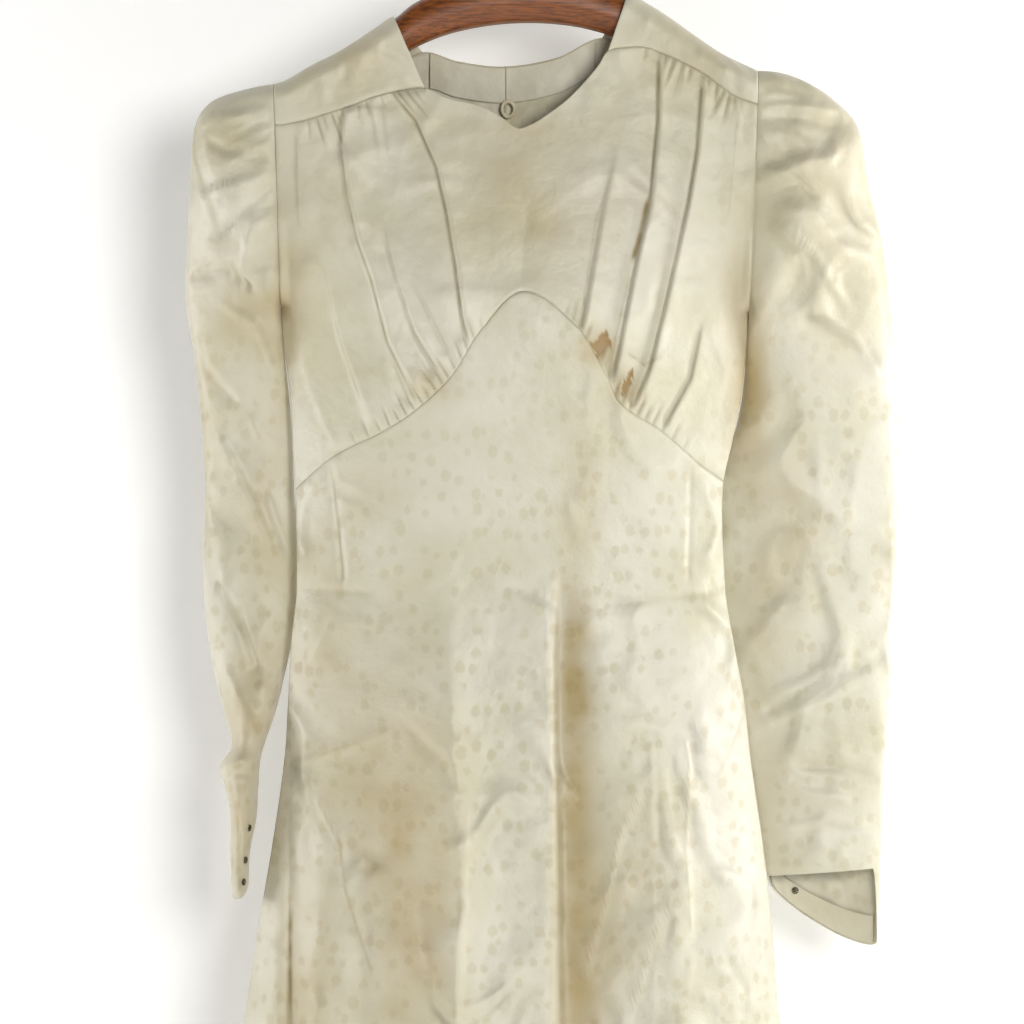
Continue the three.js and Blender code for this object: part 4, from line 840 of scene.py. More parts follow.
# The midriff and the front skirt are cut in one, pointed up under the bust and darted at the
# waist. The satin falls in a few broad folds, creased where it lay folded.
HEM_CENTRE = -1520
HEM_HALF = 320
HEM_RISE = 14
SKIRT_FOLDS = [
    Fold(-1.6, 2.4, 2.4, (6, 10), [(-141, -446), (-132, -545)]),
    Fold(-1.6, 2.4, 2.4, (6, 10), [(134, -452), (132, -542)]),
    Fold(-1.6, 6, 4, (4, 16), [(-167, -544), (-104, -547)]),
    Fold(-1.6, 6, 4, (16, 4), [(62, -555), (158, -547)]),
    # the falls of the skirt
    Fold((-11, -20), (6, 12), (6, 14), (90, 0),
         [(-175, -690), (-173, -783), (-172, -878), (-204, -1100), (-262, -1560)]),
    Fold((3, 20), (14, 26), (20, 34), (120, 0),
         [(-140, -650), (-148, -760), (-152, -878), (-172, -1100), (-214, -1560)]),
    Fold((-3, -20), (20, 30), (24, 40), (160, 0),
         [(-104, -560), (-108, -700), (-112, -800), (-116, -878), (-130, -1100), (-168, -1560)]),
    Fold((7, 24), (34, 50), (12, 40), (200, 0),
         [(-50, -490), (-50, -629), (-47, -706), (-44, -783), (-48, -878), (-56, -1100), (-76, -1560)]),
    Fold((1.2, 8), (36, 44), (1.8, 12), (60, 0),
         [(23, -520), (25, -629), (28, -727), (30, -877), (34, -1100), (44, -1560)]),
    Fold((-9, -26), (2.2, 16), (16, 80), (60, 0),
         [(33, -520), (33, -629), (36, -727), (38, -877), (48, -1100), (70, -1560)]),
    Fold((3, 20), (24, 34), (26, 36), (140, 0),
         [(112, -640), (118, -760), (124, -878), (140, -1100), (180, -1560)]),
    Fold((-4, -18), (14, 24), (14, 26), (150, 0), [(180, -880), (200, -1100), (246, -1560)]),
    # creases of the midriff and of the upper skirt
    Fold((-2, -2.4), 5, 3, (6, 10), [(-158, -398), (-149, -430), (-139, -464), (-135, -501), (-131, -540)]),
    Fold((1.4, 1.2), 2.4, 6, (6, 14), [(-135, -547), (-146, -576), (-160, -603)]),
    Fold(1.0, 2, 4, (6, 8), [(-103, -485), (-103, -510)]),
    Fold(-1.0, 4, 2.4, (6, 6), [(-22, -582), (-7, -591)]),
    Fold((2, 4), 4, 10, (10, 20), [(-174, -676), (-130, -664), (-95, -648)]),
    Fold((-2, -3), 8, 3, (14, 14), [(-95, -636), (-55, -672), (-45, -700)]),
    # creases where the skirt lay folded
    Fold((1.6, 1.4), 2.2, 5, (6, 8), [(-156, -712), (-169, -744)]),
    Fold((1.8, 1.2), 2.2, 6, (8, 26), [(-155, -698), (-134, -737), (-130, -771), (-108, -840)]),
    Fold((1.3, 1.0), 2.2, 5, (10, 20), [(-76, -778), (-70, -806), (-64, -850)]),
    Fold(1.2, 2.2, 4, (5, 5), [(-59, -735), (-42, -744)]),
    Fold((1.8, 2.0), 7, 2.2, (20, 30), [(-37, -700), (-40, -776), (-46, -890)]),
    Fold((1.3, 1.0), 2.2, 5, (8, 14), [(-32, -796), (-2, -848)]),
    Fold(1.2, 4, 2.2, (6, 8), [(-12, -845), (0, -855), (32, -872)]),
    Fold((1.8, 1.4), 6, 2.2, (10, 26), [(97, -694), (79, -728), (69, -774), (49, -842)]),
    Fold((1.4, 1.2), 6, 2.2, (16, 20), [(103, -654), (105, -747)]),
    Fold((2.0, 1.8), 7, 2.2, (10, 20), [(128, -654), (132, -678), (129, -728), (132, -806)]),
    Fold((1.8, 1.4), 6, 2.2, (6, 10), [(176, -637), (162, -671), (151, -691)]),
    Fold((1.6, 1.4), 6, 2.2, (8, 10), [(120, -776), (101, -811), (93, -845), (76, -872)]),
    Fold(1.2, 2.2, 5, (6, 6), [(83, -786), (105, -806)]),
    Fold(1.4, 5, 2.2, (6, 8), [(135, -815), (129, -850)]),
    Fold(1.6, 4, 2.4, (5, 5), [(146, -822), (164, -842)]),
    Fold(-1.8, 4, 3, (5, 5), [(158, -820), (176, -850), (172, -872)]),
    Fold(1.8, 3, 6, (5, 5), [(150, -866), (176, -858), (194, -872)]),
    Fold(1.5, 5, 2.4, (5, 5), [(182, -816), (190, -846)]),
]


SKIRT_CREASES = [
    Crease((0.5, 0.6), 2.2, 30, [(29, -548), (30, -629), (33, -727), (35, -895)]),
    Crease((0.9, 1.0), 2.0, 20, [(-172, -780), (-173, -830), (-174, -900)]),
    Crease(0.4, 0.9, 12, [(-155, -698), (-134, -737), (-130, -771), (-108, -840)]),
    Crease(0.4, 0.9, 12, [(97, -694), (79, -728), (69, -774), (49, -842)]),
    Crease(0.4, 0.9, 10, [(128, -654), (132, -678), (129, -728), (132, -806)]),
    Crease(0.35, 0.9, 10, [(120, -776), (101, -811), (93, -845), (76, -872)]),
    Crease(0.35, 0.9, 8, [(176, -637), (162, -671), (151, -691)]),
    Crease(0.3, 2.2, 8, [(-174, -676), (-130, -664), (-95, -648)]),
    Crease(0.25, 2.4, 8, [(-167, -544), (-104, -547)]),
    Crease(0.25, 2.4, 8, [(62, -555), (158, -547)]),
]


def hem(x):
    """The hem hangs level at the centre and a little higher at the sides."""
    return HEM_CENTRE + (x / HEM_HALF) ** 2 * HEM_RISE


SKIRT_COLUMNS, SKIRT_ROWS = 224, 210


def skirt_front():
    # rows are close together in the upper half and wider apart below the picture
    share = np.linspace(0, 1, SKIRT_ROWS)
    share = blend(share, share**5, 0.55)
    u = np.linspace(-1, 1, SKIRT_COLUMNS)
    u, z, x, out = panel_grid(-1, u, under_bust, hem, share)
    seam = under_bust(x)
    relief = relief_of(SKIRT_FOLDS, x, z)
    relief += (1.0 * wandering(x, z, 40, 21) + 0.45 * wandering(x, z, 15, 22)) * smooth(-z, 400, 560)
    relief += 1.0 * crumpled(x, z, 34, 23) * smooth(-z, 520, 700)
    relief += 0.6 * crumpled(x, z, 20, 24) * smooth(np.abs(x), 60, 140)
    relief *= smooth(seam - z, -0.5, 9) * free(u)
    relief -= seam_dip(z - seam)
    rumpled = np.maximum(smooth(-z, 520, 640), smooth(np.abs(x), 90, 150))
    # the skirt's creases are painted darker, as shade
    cloth_piece("skirt_front", grid_of(x, -(out + relief), z), cloth_uv(grid_of(x, -out, z)),
                spots=blend(0.7, 1.0, smooth(-z, 400, 470)),
                crease_shade=crease_shading(SKIRT_CREASES, x, z), wrinkled=blend(0.3, 0.9, rumpled))


skirt_front()


# Each yoke runs from the front seam over the hanger to the back seam. It is plain, and lies
# smooth over the wood but for a few soft pulls towards the neck.
SHOULDER = [
    (-186, -155), (-177, -152), (-158, -141), (-134, -128.5), (-107, -111), (-94, -103), (86, -86),
    (100, -92.5), (119, -104.5), (138, -118), (159, -132), (186, -145),
]
BACK_TOP = [
    (-180, -183), (-140, -165), (-105, -147), (-72, -129), (-45, -136), (-9, -140), (32, -133),
    (66, -118), (105, -132), (145, -152), (185, -171),
]
SHOULDER_ROUND = 14
SHOULDER_END = 185.5
YOKE_COLUMNS, YOKE_ROWS = 76, 90
YOKE_FOLDS = [
    Fold(0.8, 3, 6, (6, 12), [(-116, -118), (-120, -150)]),
    Fold((1.0, 0.6), 4, 3, (6, 12), [(-104, -112), (-106, -140)]),
    Fold(-0.8, 4, 4, (6, 12), [(-128, -128), (-134, -160)]),
    Fold(0.8, 5, 5, (6, 12), [(-150, -142), (-146, -172)]),
    Fold(0.7, 5, 4, (6, 12), [(104, -98), (98, -120)]),
    Fold((-0.8, -0.6), 5, 4, (6, 12), [(140, -124), (134, -138)]),
    Fold(0.8, 4, 5, (6, 12), [(164, -138), (158, -154)]),
]
back_top = line_over_x(BACK_TOP)
shoulder = line_over_x(SHOULDER)


def shoulder_turn(below):
    """From 0 at the ridge of the shoulder to 1 where the cloth hangs straight, as a quarter
    circle."""
    return np.sqrt(1 - (1 - np.clip(below / SHOULDER_ROUND, 0, 1)) ** 2)


def yoke(name):
    """From s 0 at the neck to 1 at the armhole, and from turn -1 at the front seam over the
    ridge at 0 to 1 at the back seam, x and z ease from the ridge to the seams as turn squared."""
    hole, end = ARMHOLES[name], NECK_ENDS[name]
    s = np.linspace(0, 1, YOKE_COLUMNS)[None]
    turn = np.linspace(-1, 1, YOKE_ROWS)[:, None]
    turn = np.sign(turn) * np.abs(turn) ** 1.15
    ridge_x = blend(end.ridge, hole.side * SHOULDER_END, s)
    ridge_z = shoulder(ridge_x)
    points = np.zeros((YOKE_ROWS, YOKE_COLUMNS, 3))
    for side, line, neck_x in ((-1, front_top, end.front), (1, back_top, end.back)):
        column = blend(column_of(neck_x, COLUMN_Z), hole.side, s)
        seam_z = meets(line, column)
        z = blend(ridge_z, seam_z, turn**2)
        x = blend(ridge_x, body_x(column, seam_z), turn**2)
        u = np.clip(column_of(x, z), -1, 1)
        from_seam = smooth(z - line(x), 0, 8)
        out = body_out(side, u, z)
        out = out + relief_of(YOKE_FOLDS, x, z) * from_seam * smooth(ridge_z - z, 0, 12)
        out = out + 0.5 * wandering(x, z, 22, 31 + side) * from_seam * free(u)
        out = out - seam_dip(z - line(x))
        out = out - seam_dip(x - section(name, z)) * smooth(ridge_z - z, 4, 12)
        half = grid_of(x, side * out * shoulder_turn(ridge_z - z), z)
        points = np.where(np.broadcast_to(turn[..., None] * side > 0, points.shape), half, points)
    if hole.side > 0:
        points = points[:, ::-1]
    uv = np.stack([travel(points, 1), travel(points, 0)], axis=-1)
    cloth_piece(f"yoke_{name}", points, uv, spots=0.15)


for name in NECK_ENDS:
    yoke(name)


# The back is two plain bodice pieces and two skirt pieces, open at the neck end of the centre
# back and closed there by a loop over a covered button.
CENTRE_BACK = -9
BACK_WAIST = -546
BACK_COLUMNS = 80
BACK_FOLDS = [
    Fold((2, 3), 3, 12, (30, 40), [(-110, -200), (-100, -330), (-84, -500)]),
    Fold((2, 3), 12, 3, (30, 40), [(104, -190), (92, -330), (74, -500)]),
    Fold((1.4, 1.8), 9, 3, (30, 40), [(-60, -210), (-52, -330), (-50, -470)]),
    Fold((1.4, 1.8), 3, 9, (30, 40), [(44, -210), (38, -330), (34, -470)]),
    Fold(-1.8, 4, 4, (40, 6), [(-78, -455), (-72, -640)]),
    Fold(-1.8, 4, 4, (40, 6), [(62, -455), (56, -640)]),
    Fold((1.6, 1.2), 3, 6, (14, 20), [(-150, -420), (-96, -450), (-60, -440)]),
    Fold((1.6, 1.2), 6, 3, (14, 20), [(150, -410), (104, -446), (50, -452)]),
    Fold((3, 24), (20, 36), (20, 36), (130, 0), [(-136, -650), (-150, -878), (-176, -1100), (-228, -1560)]),
    Fold((-3, -24), (20, 34), (20, 34), (130, 0), [(-82, -620), (-92, -878), (-108, -1100), (-140, -1560)]),
    Fold((4, 22), (18, 32), (14, 26), (120, 0), [(-36, -600), (-40, -878), (-46, -1100), (-62, -1560)]),
    Fold((3, 22), (16, 28), (20, 34), (120, 0), [(30, -610), (36, -878), (42, -1100), (60, -1560)]),
    Fold((-3, -24), (18, 32), (20, 34), (130, 0), [(78, -620), (88, -878), (104, -1100), (140, -1560)]),
    Fold((3, 22), (18, 34), (20, 34), (130, 0), [(128, -650), (142, -878), (166, -1100), (222, -1560)]),
]


def back_waist(x):
    return BACK_WAIST + 0 * x


def back_panel(node, u, top, bottom, rows, spots):
    u, z, x, out = panel_grid(1, u, top, bottom, np.linspace(0, 1, rows))
    relief = relief_of(BACK_FOLDS, x, z)
    relief += 1.0 * wandering(x, z, 40, 41) + 0.4 * wandering(x, z, 16, 42)
    relief += 0.9 * crumpled(x, z, 36, 43) * smooth(-z, 300, 700)
    relief *= free(u) * blend(0.25, 1, smooth(top(x) - z, 0, 8))
    for line in (top, bottom):
        if line is not hem:
            relief -= seam_dip(z - line(x))
    relief -= seam_dip(x - body_x(CENTRE_COLUMN, z)) + armhole_dips(x, z)
    uv = cloth_uv(grid_of(x, out, z)[:, ::-1])
    cloth_piece(node, grid_of(x, out + relief, z)[:, ::-1], uv, spots)


CENTRE_COLUMN = column_of(CENTRE_BACK, COLUMN_Z)
CENTRE_GAP = 0.0004  # half the gap at the centre seam, as a share of half the dress's width
for half, start, end in (
        ("left", -1, CENTRE_COLUMN - CENTRE_GAP), ("right", CENTRE_COLUMN + CENTRE_GAP, 1)):
    columns = np.linspace(start, end, BACK_COLUMNS)
    back_panel(f"bodice_back_{half}", columns, back_top, back_waist, 110, 0.5)
    back_panel(f"skirt_back_{half}", columns, back_waist, hem, 130, 0.9)


# Each sleeve is one piece, pleated into the top of the armhole and pointed over the hand. The
# left one is turned so that its cuff is seen edge-on.
Ring = namedtuple("Ring", "out_x out_z in_x in_z depth back")
SLEEVE_RINGS = {
    "left": [
        Ring(-185.6, -155, -181, -325, 23, 0), Ring(-212, -159, -181.4, -329, 27, 1),
        Ring(-235, -169, -181.2, -334, 28, 2), Ring(-247, -188, -180.6, -343, 28, 4),
        Ring(-251, -229, -179.4, -357, 26, 8), Ring(-253, -275, -177.2, -378, 24, 13),
        Ring(-255, -318, -174.6, -405, 22, 18), Ring(-248, -365, -172.8, -436, 21, 22),
        Ring(-243, -413, -172, -467, 20, 25), Ring(-240, -467, -169, -502, 20, 27),
        Ring(-242, -521, -168, -537, 20, 28), Ring(-239.5, -567, -169.5, -567, 21, 28),
        Ring(-234, -604, -177, -600, 24, 27), Ring(-225, -640, -185.5, -636, 28, 25),
        Ring(-219.5, -664, -193, -658, 32, 23), Ring(-228, -680, -198, -676, 36, 20),
        Ring(-224, -697, -199.5, -697, 36, 18), Ring(-220, -717, -201, -721, 36, 18),
        Ring(-220, -745, -206, -745, 36, 18), Ring(-219, -768, -207, -766, 34, 18),
    ],
    "right": [
        Ring(185.6, -145, 178, -330, 23, 0), Ring(217, -147, 179.4, -334.5, 28, 1),
        Ring(243, -166, 179.2, -340, 30, 2), Ring(263, -188, 178.6, -349, 30, 4),
        Ring(271, -229, 177.6, -362, 28, 9), Ring(282, -275, 176.4, -383, 26, 15),
        Ring(290, -336, 172, -413, 24, 21), Ring(294, -398, 161, -452, 21, 26),
        Ring(295.5, -437, 154, -490, 19, 30), Ring(295, -490, 153, -529, 18, 31),
        Ring(292.5, -552, 160, -575, 17, 33), Ring(290, -614, 172, -625, 16, 34),
        Ring(286.5, -660, 180, -666, 15, 34), Ring(284, -706, 187, -708, 14, 34),
        Ring(281.5, -736, 191, -738, 14, 34), Ring(280, -760, 196, -766, 14, 34),
    ],
}
# The point of each cuff: where the cloth starts to draw down to it, how far it hangs, at which
# angle round the cuff, and over which angle the front edge keeps its height
CuffPoint = namedtuple("CuffPoint", "start drop at front_fade")
CUFF_POINTS = {
    "left": CuffPoint(-721, 19, math.pi / 2, None), "right": CuffPoint(-690, 60, -0.45, 0.42),
}
SLEEVE_FOLDS = {
    "left": [
        Fold((3.4, 2), 2, 4, (2, 16), [(-190, -164), (-214, -166), (-236, -176)]),
        Fold((3.4, 2), 2, 4, (2, 16), [(-188, -174), (-212, -178), (-238, -192)]),
        Fold((-3, -2), 2.4, 2, (2, 14), [(-187, -183), (-208, -190), (-228, -206)]),
        Fold((3, 2), 2, 4, (2, 16), [(-187, -198), (-206, -206), (-232, -222)]),
        Fold((-2.4, -2), 2.4, 2, (4, 14), [(-190, -228), (-214, -262), (-240, -280)]),
        Fold((2.4, 2), 2, 5, (4, 20), [(-186, -252), (-206, -276), (-216, -330)]),
        Fold((2.4, 2), 4, 2, (10, 20), [(-186, -380), (-200, -340), (-232, -322)]),
        Fold(3, 2.4, 6, (6, 10), [(-246, -189), (-226, -181), (-196, -186)]),
        Fold(-3, 5, 2.4, (8, 10), [(-239, -197), (-226, -204), (-196, -216)]),
        Fold(2, 3, 5, (4, 10), [(-248, -185), (-242, -175), (-224, -169)]),
        Fold(2, 3, 5, (4, 10), [(-209, -193), (-183, -188)]),
        Fold(3, 6, 2.4, (10, 10), [(-240, -240), (-207, -231), (-188, -222)]),
        Fold(1.5, 2.4, 5, (10, 10), [(-250, -242), (-222, -246), (-196, -244)]),
        Fold(1.5, 4, 2.4, (8, 10), [(-209, -285), (-199, -255)]),
        Fold(-4, 6, 2.4, (6, 10), [(-254, -303), (-218, -295), (-200, -315)]),
        Fold(-3, 7, 2.4, (8, 12), [(-248, -345), (-239, -373), (-211, -403)]),
        Fold(2, 3, 8, (14, 14), [(-207, -406), (-196, -430), (-186, -457)]),
        Fold(3, 8, 4, (14, 14), [(-232, -420), (-205, -475), (-186, -520)]),
        Fold(2, 4, 2.4, (8, 8), [(-192, -468), (-179, -508), (-170, -522)]),
        Fold(-3, 7, 3, (8, 10), [(-236, -530), (-214, -560), (-196, -610)]),
        Fold(2, 4, 2.4, (8, 8), [(-230, -531), (-236, -548), (-240, -562)]),
        Fold(2, 6, 3, (14, 14), [(-226, -600), (-206, -640), (-199, -664)]),
        Fold(4, 3, 5, (2, 4), [(-229, -681), (-213, -675), (-199, -675)]),
        Fold(-2, 3, 5, (2, 4), [(-226, -690), (-212, -684), (-200, -686)]),
        Fold(-1.6, 1.8, 1.8, (6, 4), [(-212.5, -712), (-211.5, -740), (-211, -766)]),
    ],
    "right": [
        Fold((3.4, 2), 4, 2, (2, 16), [(190, -150), (216, -150), (242, -162)]),
        Fold((3.4, 2), 4, 2, (2, 16), [(189, -161), (214, -163), (246, -178)]),
        Fold((3, 2), 4, 2, (2, 16), [(187, -188), (210, -194), (238, -210)]),
        Fold((-2.4, -2), 2, 3, (4, 16), [(188, -204), (214, -226), (232, -256)]),
        Fold((2.4, 2), 5, 2, (10, 24), [(196, -262), (230, -286), (262, -336)]),
        Fold(2, 5, 2, (20, 24), [(232, -330), (262, -350), (288, -392)]),
        Fold(4, 5, 2.4, (4, 6), [(188, -175), (216, -174), (249, -175), (259, -181)]),
        Fold(-3, 2.4, 6, (8, 10), [(196, -182), (222, -184), (250, -192)]),
        Fold(2, 4, 3, (4, 10), [(190, -156), (214, -154), (236, -162)]),
        Fold(2, 3, 3, (2, 10), [(188, -166), (204, -165), (226, -169)]),
        Fold(3, 8, 3, (10, 16), [(197, -227), (226, -212), (250, -214)]),
        Fold(2, 8, 4, (8, 16), [(240, -196), (246, -206), (236, -222)]),
        Fold(-3, 9, 4, (14, 10), [(215, -331), (250, -350), (283, -371)]),
        Fold((2, 3), 9, 9, (20, 20), [(200, -453), (232, -474), (262, -500)]),
        Fold(1.6, 4, 7, (14, 20), [(182, -453), (200, -453)]),
        Fold(-3, 7, 4, (10, 6), [(190, -640), (240, -612), (288, -593)]),
        Fold(2, 3, 9, (10, 10), [(186, -652), (236, -628), (286, -606)]),
        Fold(-3, 3, 5, (12, 6), [(211, -680), (248, -682), (284, -694)]),
        Fold(1.6, 5, 3, (8, 10), [(196, -690), (222, -700), (262, -706)]),
        Fold(1.2, 3, 5, (8, 10), [(204, -730), (240, -722), (276, -728)]),
    ],
}


SLEEVE_ROWS, SLEEVE_ROUND = 260, 130
SLEEVE_DEEPER = 1.4  # times the rise of its folds
SLEEVE_SEEDS = {"left": 51, "right": 61}
BEHIND_SHIFT = 29  # how far up the folds behind the sleeve lie from those in front


def sleeve_surface(name, s, t, relief=True):
    """Round the sleeve from s 0 at its outer edge over the front to its inner edge at a half and
    back behind it; down the sleeve, t goes from 0 at the armhole to 1 at the wrist. Each ring is
    a flattened circle between an outer and an inner point, and the first is the armhole."""
    rings, hole, point = SLEEVE_RINGS[name], ARMHOLES[name], CUFF_POINTS[name]
    place_down = np.clip(t, 0, 1) * (len(rings) - 1)
    keys = np.arange(len(rings))
    ring = {f: through(keys, [getattr(r, f) for r in rings], place_down) for f in Ring._fields}
    angle = s * 2 * math.pi
    along, across = np.cos(angle), -np.sin(angle)
    x = (ring["out_x"] + ring["in_x"]) / 2 + (ring["out_x"] - ring["in_x"]) / 2 * along
    z = (ring["out_z"] + ring["in_z"]) / 2 + (ring["out_z"] - ring["in_z"]) / 2 * along
    side = np.where(across < 0, -1, 1)
    fold = 0
    if relief:
        seed, last = SLEEVE_SEEDS[name], len(rings) - 1
        zf = z + np.where(side < 0, 0, BEHIND_SHIFT)
        fold = SLEEVE_DEEPER * relief_of(SLEEVE_FOLDS[name], x, zf)
        fold = fold + 1.3 * wandering(x, zf, 36, seed) + 0.5 * wandering(x, zf, 14, seed + 1)
        fold = fold + 1.2 * crumpled(x, zf, 34, seed + 2)
        fold = fold * np.abs(across) * smooth(place_down, 0.05, 1)
        fold = fold * (1 - smooth(place_down, last - 0.4, last))
    y = ring["back"] + side * (np.abs(across) ** 0.85 * ring["depth"] + fold)
    ring_z = hole.top + (along - 1) / 2 * (hole.top - hole.underarm)
    first_x = section(name, ring_z) + hole.side * 0.2
    first_y = side * armhole_depth(hole, ring_z) * shoulder_turn(hole.top - ring_z)
    leave = smooth(place_down, 0, 2)
    lowered = smooth(point.start - z, 0, 70)
    kept = 1
    if point.front_fade:
        kept = np.where(angle < math.pi, 1 - smooth(angle, 0, point.front_fade), 1)
    z = z - point.drop * lowered * kept * np.cos((angle - point.at) / 2) ** 2
    x, y, z = blend(first_x, x, leave), blend(first_y, y, leave), blend(ring_z, z, leave)
    return grid_of(x, y, z)


def sleeve(name):
    s = np.linspace(0, 1, SLEEVE_ROUND, endpoint=False)[None]
    t = np.linspace(0, 1, SLEEVE_ROWS)[:, None]
    points = sleeve_surface(name, s, t)
    unfolded = sleeve_surface(name, s, t, relief=False)
    if ARMHOLES[name].side > 0:
        points, unfolded = points[:, ::-1], unfolded[:, ::-1]
    dip = seam_dip(travel(points, 0))
    points[..., 1] -= np.sign(points[..., 1]) * dip * smooth(np.abs(points[..., 1]), 4, 12)
    quarter = SLEEVE_ROUND // 4
    front_middle = quarter if ARMHOLES[name].side < 0 else SLEEVE_ROUND - 1 - quarter
    spots = blend(0.35, 1.0, smooth(-points[..., 2], 300, 420))
    cloth_piece(f"sleeve_{name}", points, cloth_uv(unfolded, front_middle), spots,
                closed=True, wrinkled=0.8)


sleeve("left")
sleeve("right")


# The inside of the back neck is faced with the same satin, in two pieces that meet at the
# centre back. Its lower edge is stitched down.
FACING_DEEP = 27
FACING_OFF = 1.45  # how far the facing's middle lies inside the back's
FACING_THICK = 0.5


def inside_back(u, z, depth):
    """A point of the unfolded back, moved in along its own outward direction."""
    def at(du, dz):
        return grid_of(body_x(u + du, z + dz), body_out(1, u + du, z + dz), z + dz)

    normal = np.cross(at(1e-3, 0) - at(-1e-3, 0), at(0, 1.0) - at(0, -1.0))
    normal /= np.linalg.norm(normal, axis=-1, keepdims=True)
    return at(0, 0) + normal * depth


def back_neck_facing(half, start, end):
    u = np.linspace(start, end, 70)[None]
    top = meets(back_top, u) - 1
    z = top - np.linspace(0, 1, 30)[:, None] * FACING_DEEP
    u = np.broadcast_to(u, z.shape)
    points = inside_back(u, z, FACING_OFF)
    points[..., 1] -= 0.35 * wandering(points[..., 0], z, 12, 81) + 0.3
    cloth_piece(f"back_neck_facing_{half}", points, cloth_uv(points),
                spots=0.1, thickness=FACING_THICK)


back_neck_facing("left", column_of(NECK_ENDS["left"].back, COLUMN_Z) + 0.03, CENTRE_COLUMN + 0.005)
back_neck_facing("right", CENTRE_COLUMN + 0.006, column_of(NECK_ENDS["right"].back, COLUMN_Z) - 0.03)


# A rouleau loop of the same satin is sewn inside the centre back, and closes over a covered
# button on the outside.
LOOP_X, LOOP_Z = -6, -173
LOOP_WIDTH, LOOP_HEIGHT = 12, 15
LOOP_CORD = 1.3
BUTTON_RADIUS, BUTTON_THICK, BUTTON_Z = 5.5, 4.5, -152


def loop_mesh(y):
    """A round cord bent into an upright oval: a circle carried round an ellipse."""
    angle = turns(64)[:, None]
    around = turns(14)[None]
    wide = LOOP_WIDTH / 2 - LOOP_CORD + LOOP_CORD * np.cos(around)
    tall = (LOOP_HEIGHT / LOOP_WIDTH) * wide
    points = grid_of(LOOP_X + wide * np.sin(angle), y + LOOP_CORD * np.sin(around),
                     LOOP_Z + tall * np.cos(angle))
    points = np.concatenate([points, points[:1]], axis=0)
    mesh = grid_mesh("button_loop_cord", points, closed=True)
    work = bmesh.new()
    work.from_mesh(mesh)
    bmesh.ops.remove_doubles(work, verts=work.verts, dist=1e-6)
    bmesh.ops.recalc_face_normals(work, faces=work.faces)
    work.to_mesh(mesh)
    work.free()
    return mesh


def rouleau_satin(tree):
    """The same satin cut on the bias and turned into a narrow tube, or drawn over a button mould:
    too small to show a spot, browned from handling."""
    where = add_node(tree, "TexCoord").outputs["Object"]
    wear = add_node(tree, "TexNoise", values={"Vector": where, "Scale": 180.0, "Detail": 4.0})
    tone = two_tones(tree, wear.outputs[0], 0.35, "#c6b68c", 0.65, "#dcd4ba")
    shader = add_node(tree, "BsdfPrincipled", values={
        "Base Color": tone, "Roughness": 0.5, "Sheen Weight": 0.2,
        "Normal": bump(tree, 0.3, 0.0003, wear.outputs[0])})
    return shader.outputs[0]


def middle_of(node):
    """The middle of a solid's box, in millimetres."""
    low, high = (np.array(corner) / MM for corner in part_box(node))
    return (low + high) / 2


rouleau = finish("rouleau_satin", rouleau_satin)
place(loop_mesh(middle_of("button_loop")[1]), rouleau, ["button_loop"])


def button_mesh(x, y, z):
    """A covered button: a domed face and a gathered back, its outline a flattened circle with
    eight shallow pleats on the back."""
    turn = turns(48)[None]
    rise = np.linspace(-math.pi / 2, math.pi / 2, 26)[1:-1, None]
    pleats = 1 + 0.04 * np.cos(8 * turn) * np.clip(-np.sin(rise), 0, 1)
    radius = BUTTON_RADIUS * np.cos(rise) ** 0.8 * pleats
    points = grid_of(x + radius * np.cos(turn), y + BUTTON_THICK / 2 * np.sin(rise),
                     z + radius * np.sin(turn))
    return grid_mesh("back_button_covered", points[:, ::-1], closed=True, caps=True)


button = button_mesh(CENTRE_BACK, middle_of("back_button")[1], BUTTON_Z)
place(button, rouleau, ["back_button"])


# The point of the right cuff is faced inside, which shows below its straight front edge. Press
# studs close both wrists.
CUFF_FACING_OFF = 1.75


def inside_sleeve(name, s, t, depth):
    """A point of the sleeve moved in along its own outward direction."""
    def at(ds, dt):
        return sleeve_surface(name, s + ds, t + dt, relief=False)

    normal = np.cross(at(1e-3, 0) - at(-1e-3, 0), at(0, 0) - at(0, -1e-3))
    normal /= np.linalg.norm(normal, axis=-1, keepdims=True)
    return at(0, 0) - ARMHOLES[name].side * normal * depth


def cuff_facing():
    s = np.linspace(0.55, 0.95, 90)[None]
    t = np.linspace(0.955, 0.996, 24)[:, None]
    s, t = np.broadcast_arrays(s, t)
    points = inside_sleeve("right", s, t, CUFF_FACING_OFF)
    uv = np.stack([travel(points, 1), travel(points, 0)], axis=-1)
    cloth_piece("cuff_facing_right", points, uv, spots=0.1,
                thickness=FACING_THICK)


cuff_facing()

STUD_RADIUS, STUD_THICK = 2.6, 1.2
STUD_FACING = {"left": (-0.85, -0.5, 0.1), "right": (0, -1, 0)}
STUDS = {"press_stud_left_1": "left", "press_stud_left_2": "left", "press_stud_left_3": "left",
         "press_stud_right": "right"}


def blackened_brass(tree):
    """Brass press studs, japanned black and worn through to the metal in small scattered patches."""
    where = add_node(tree, "TexCoord").outputs["Object"]
    worn = add_node(tree, "TexNoise", values={"Vector": where, "Scale": 1400.0, "Detail": 3.0})
    tone = two_tones(tree, worn.outputs[0], 0.45, "#3d3a34", 0.7, "#a2977c")
    shader = add_node(tree, "BsdfPrincipled", values={
        "Base Color": tone, "Metallic": 0.85, "Roughness": 0.42})
    return shader.outputs[0]


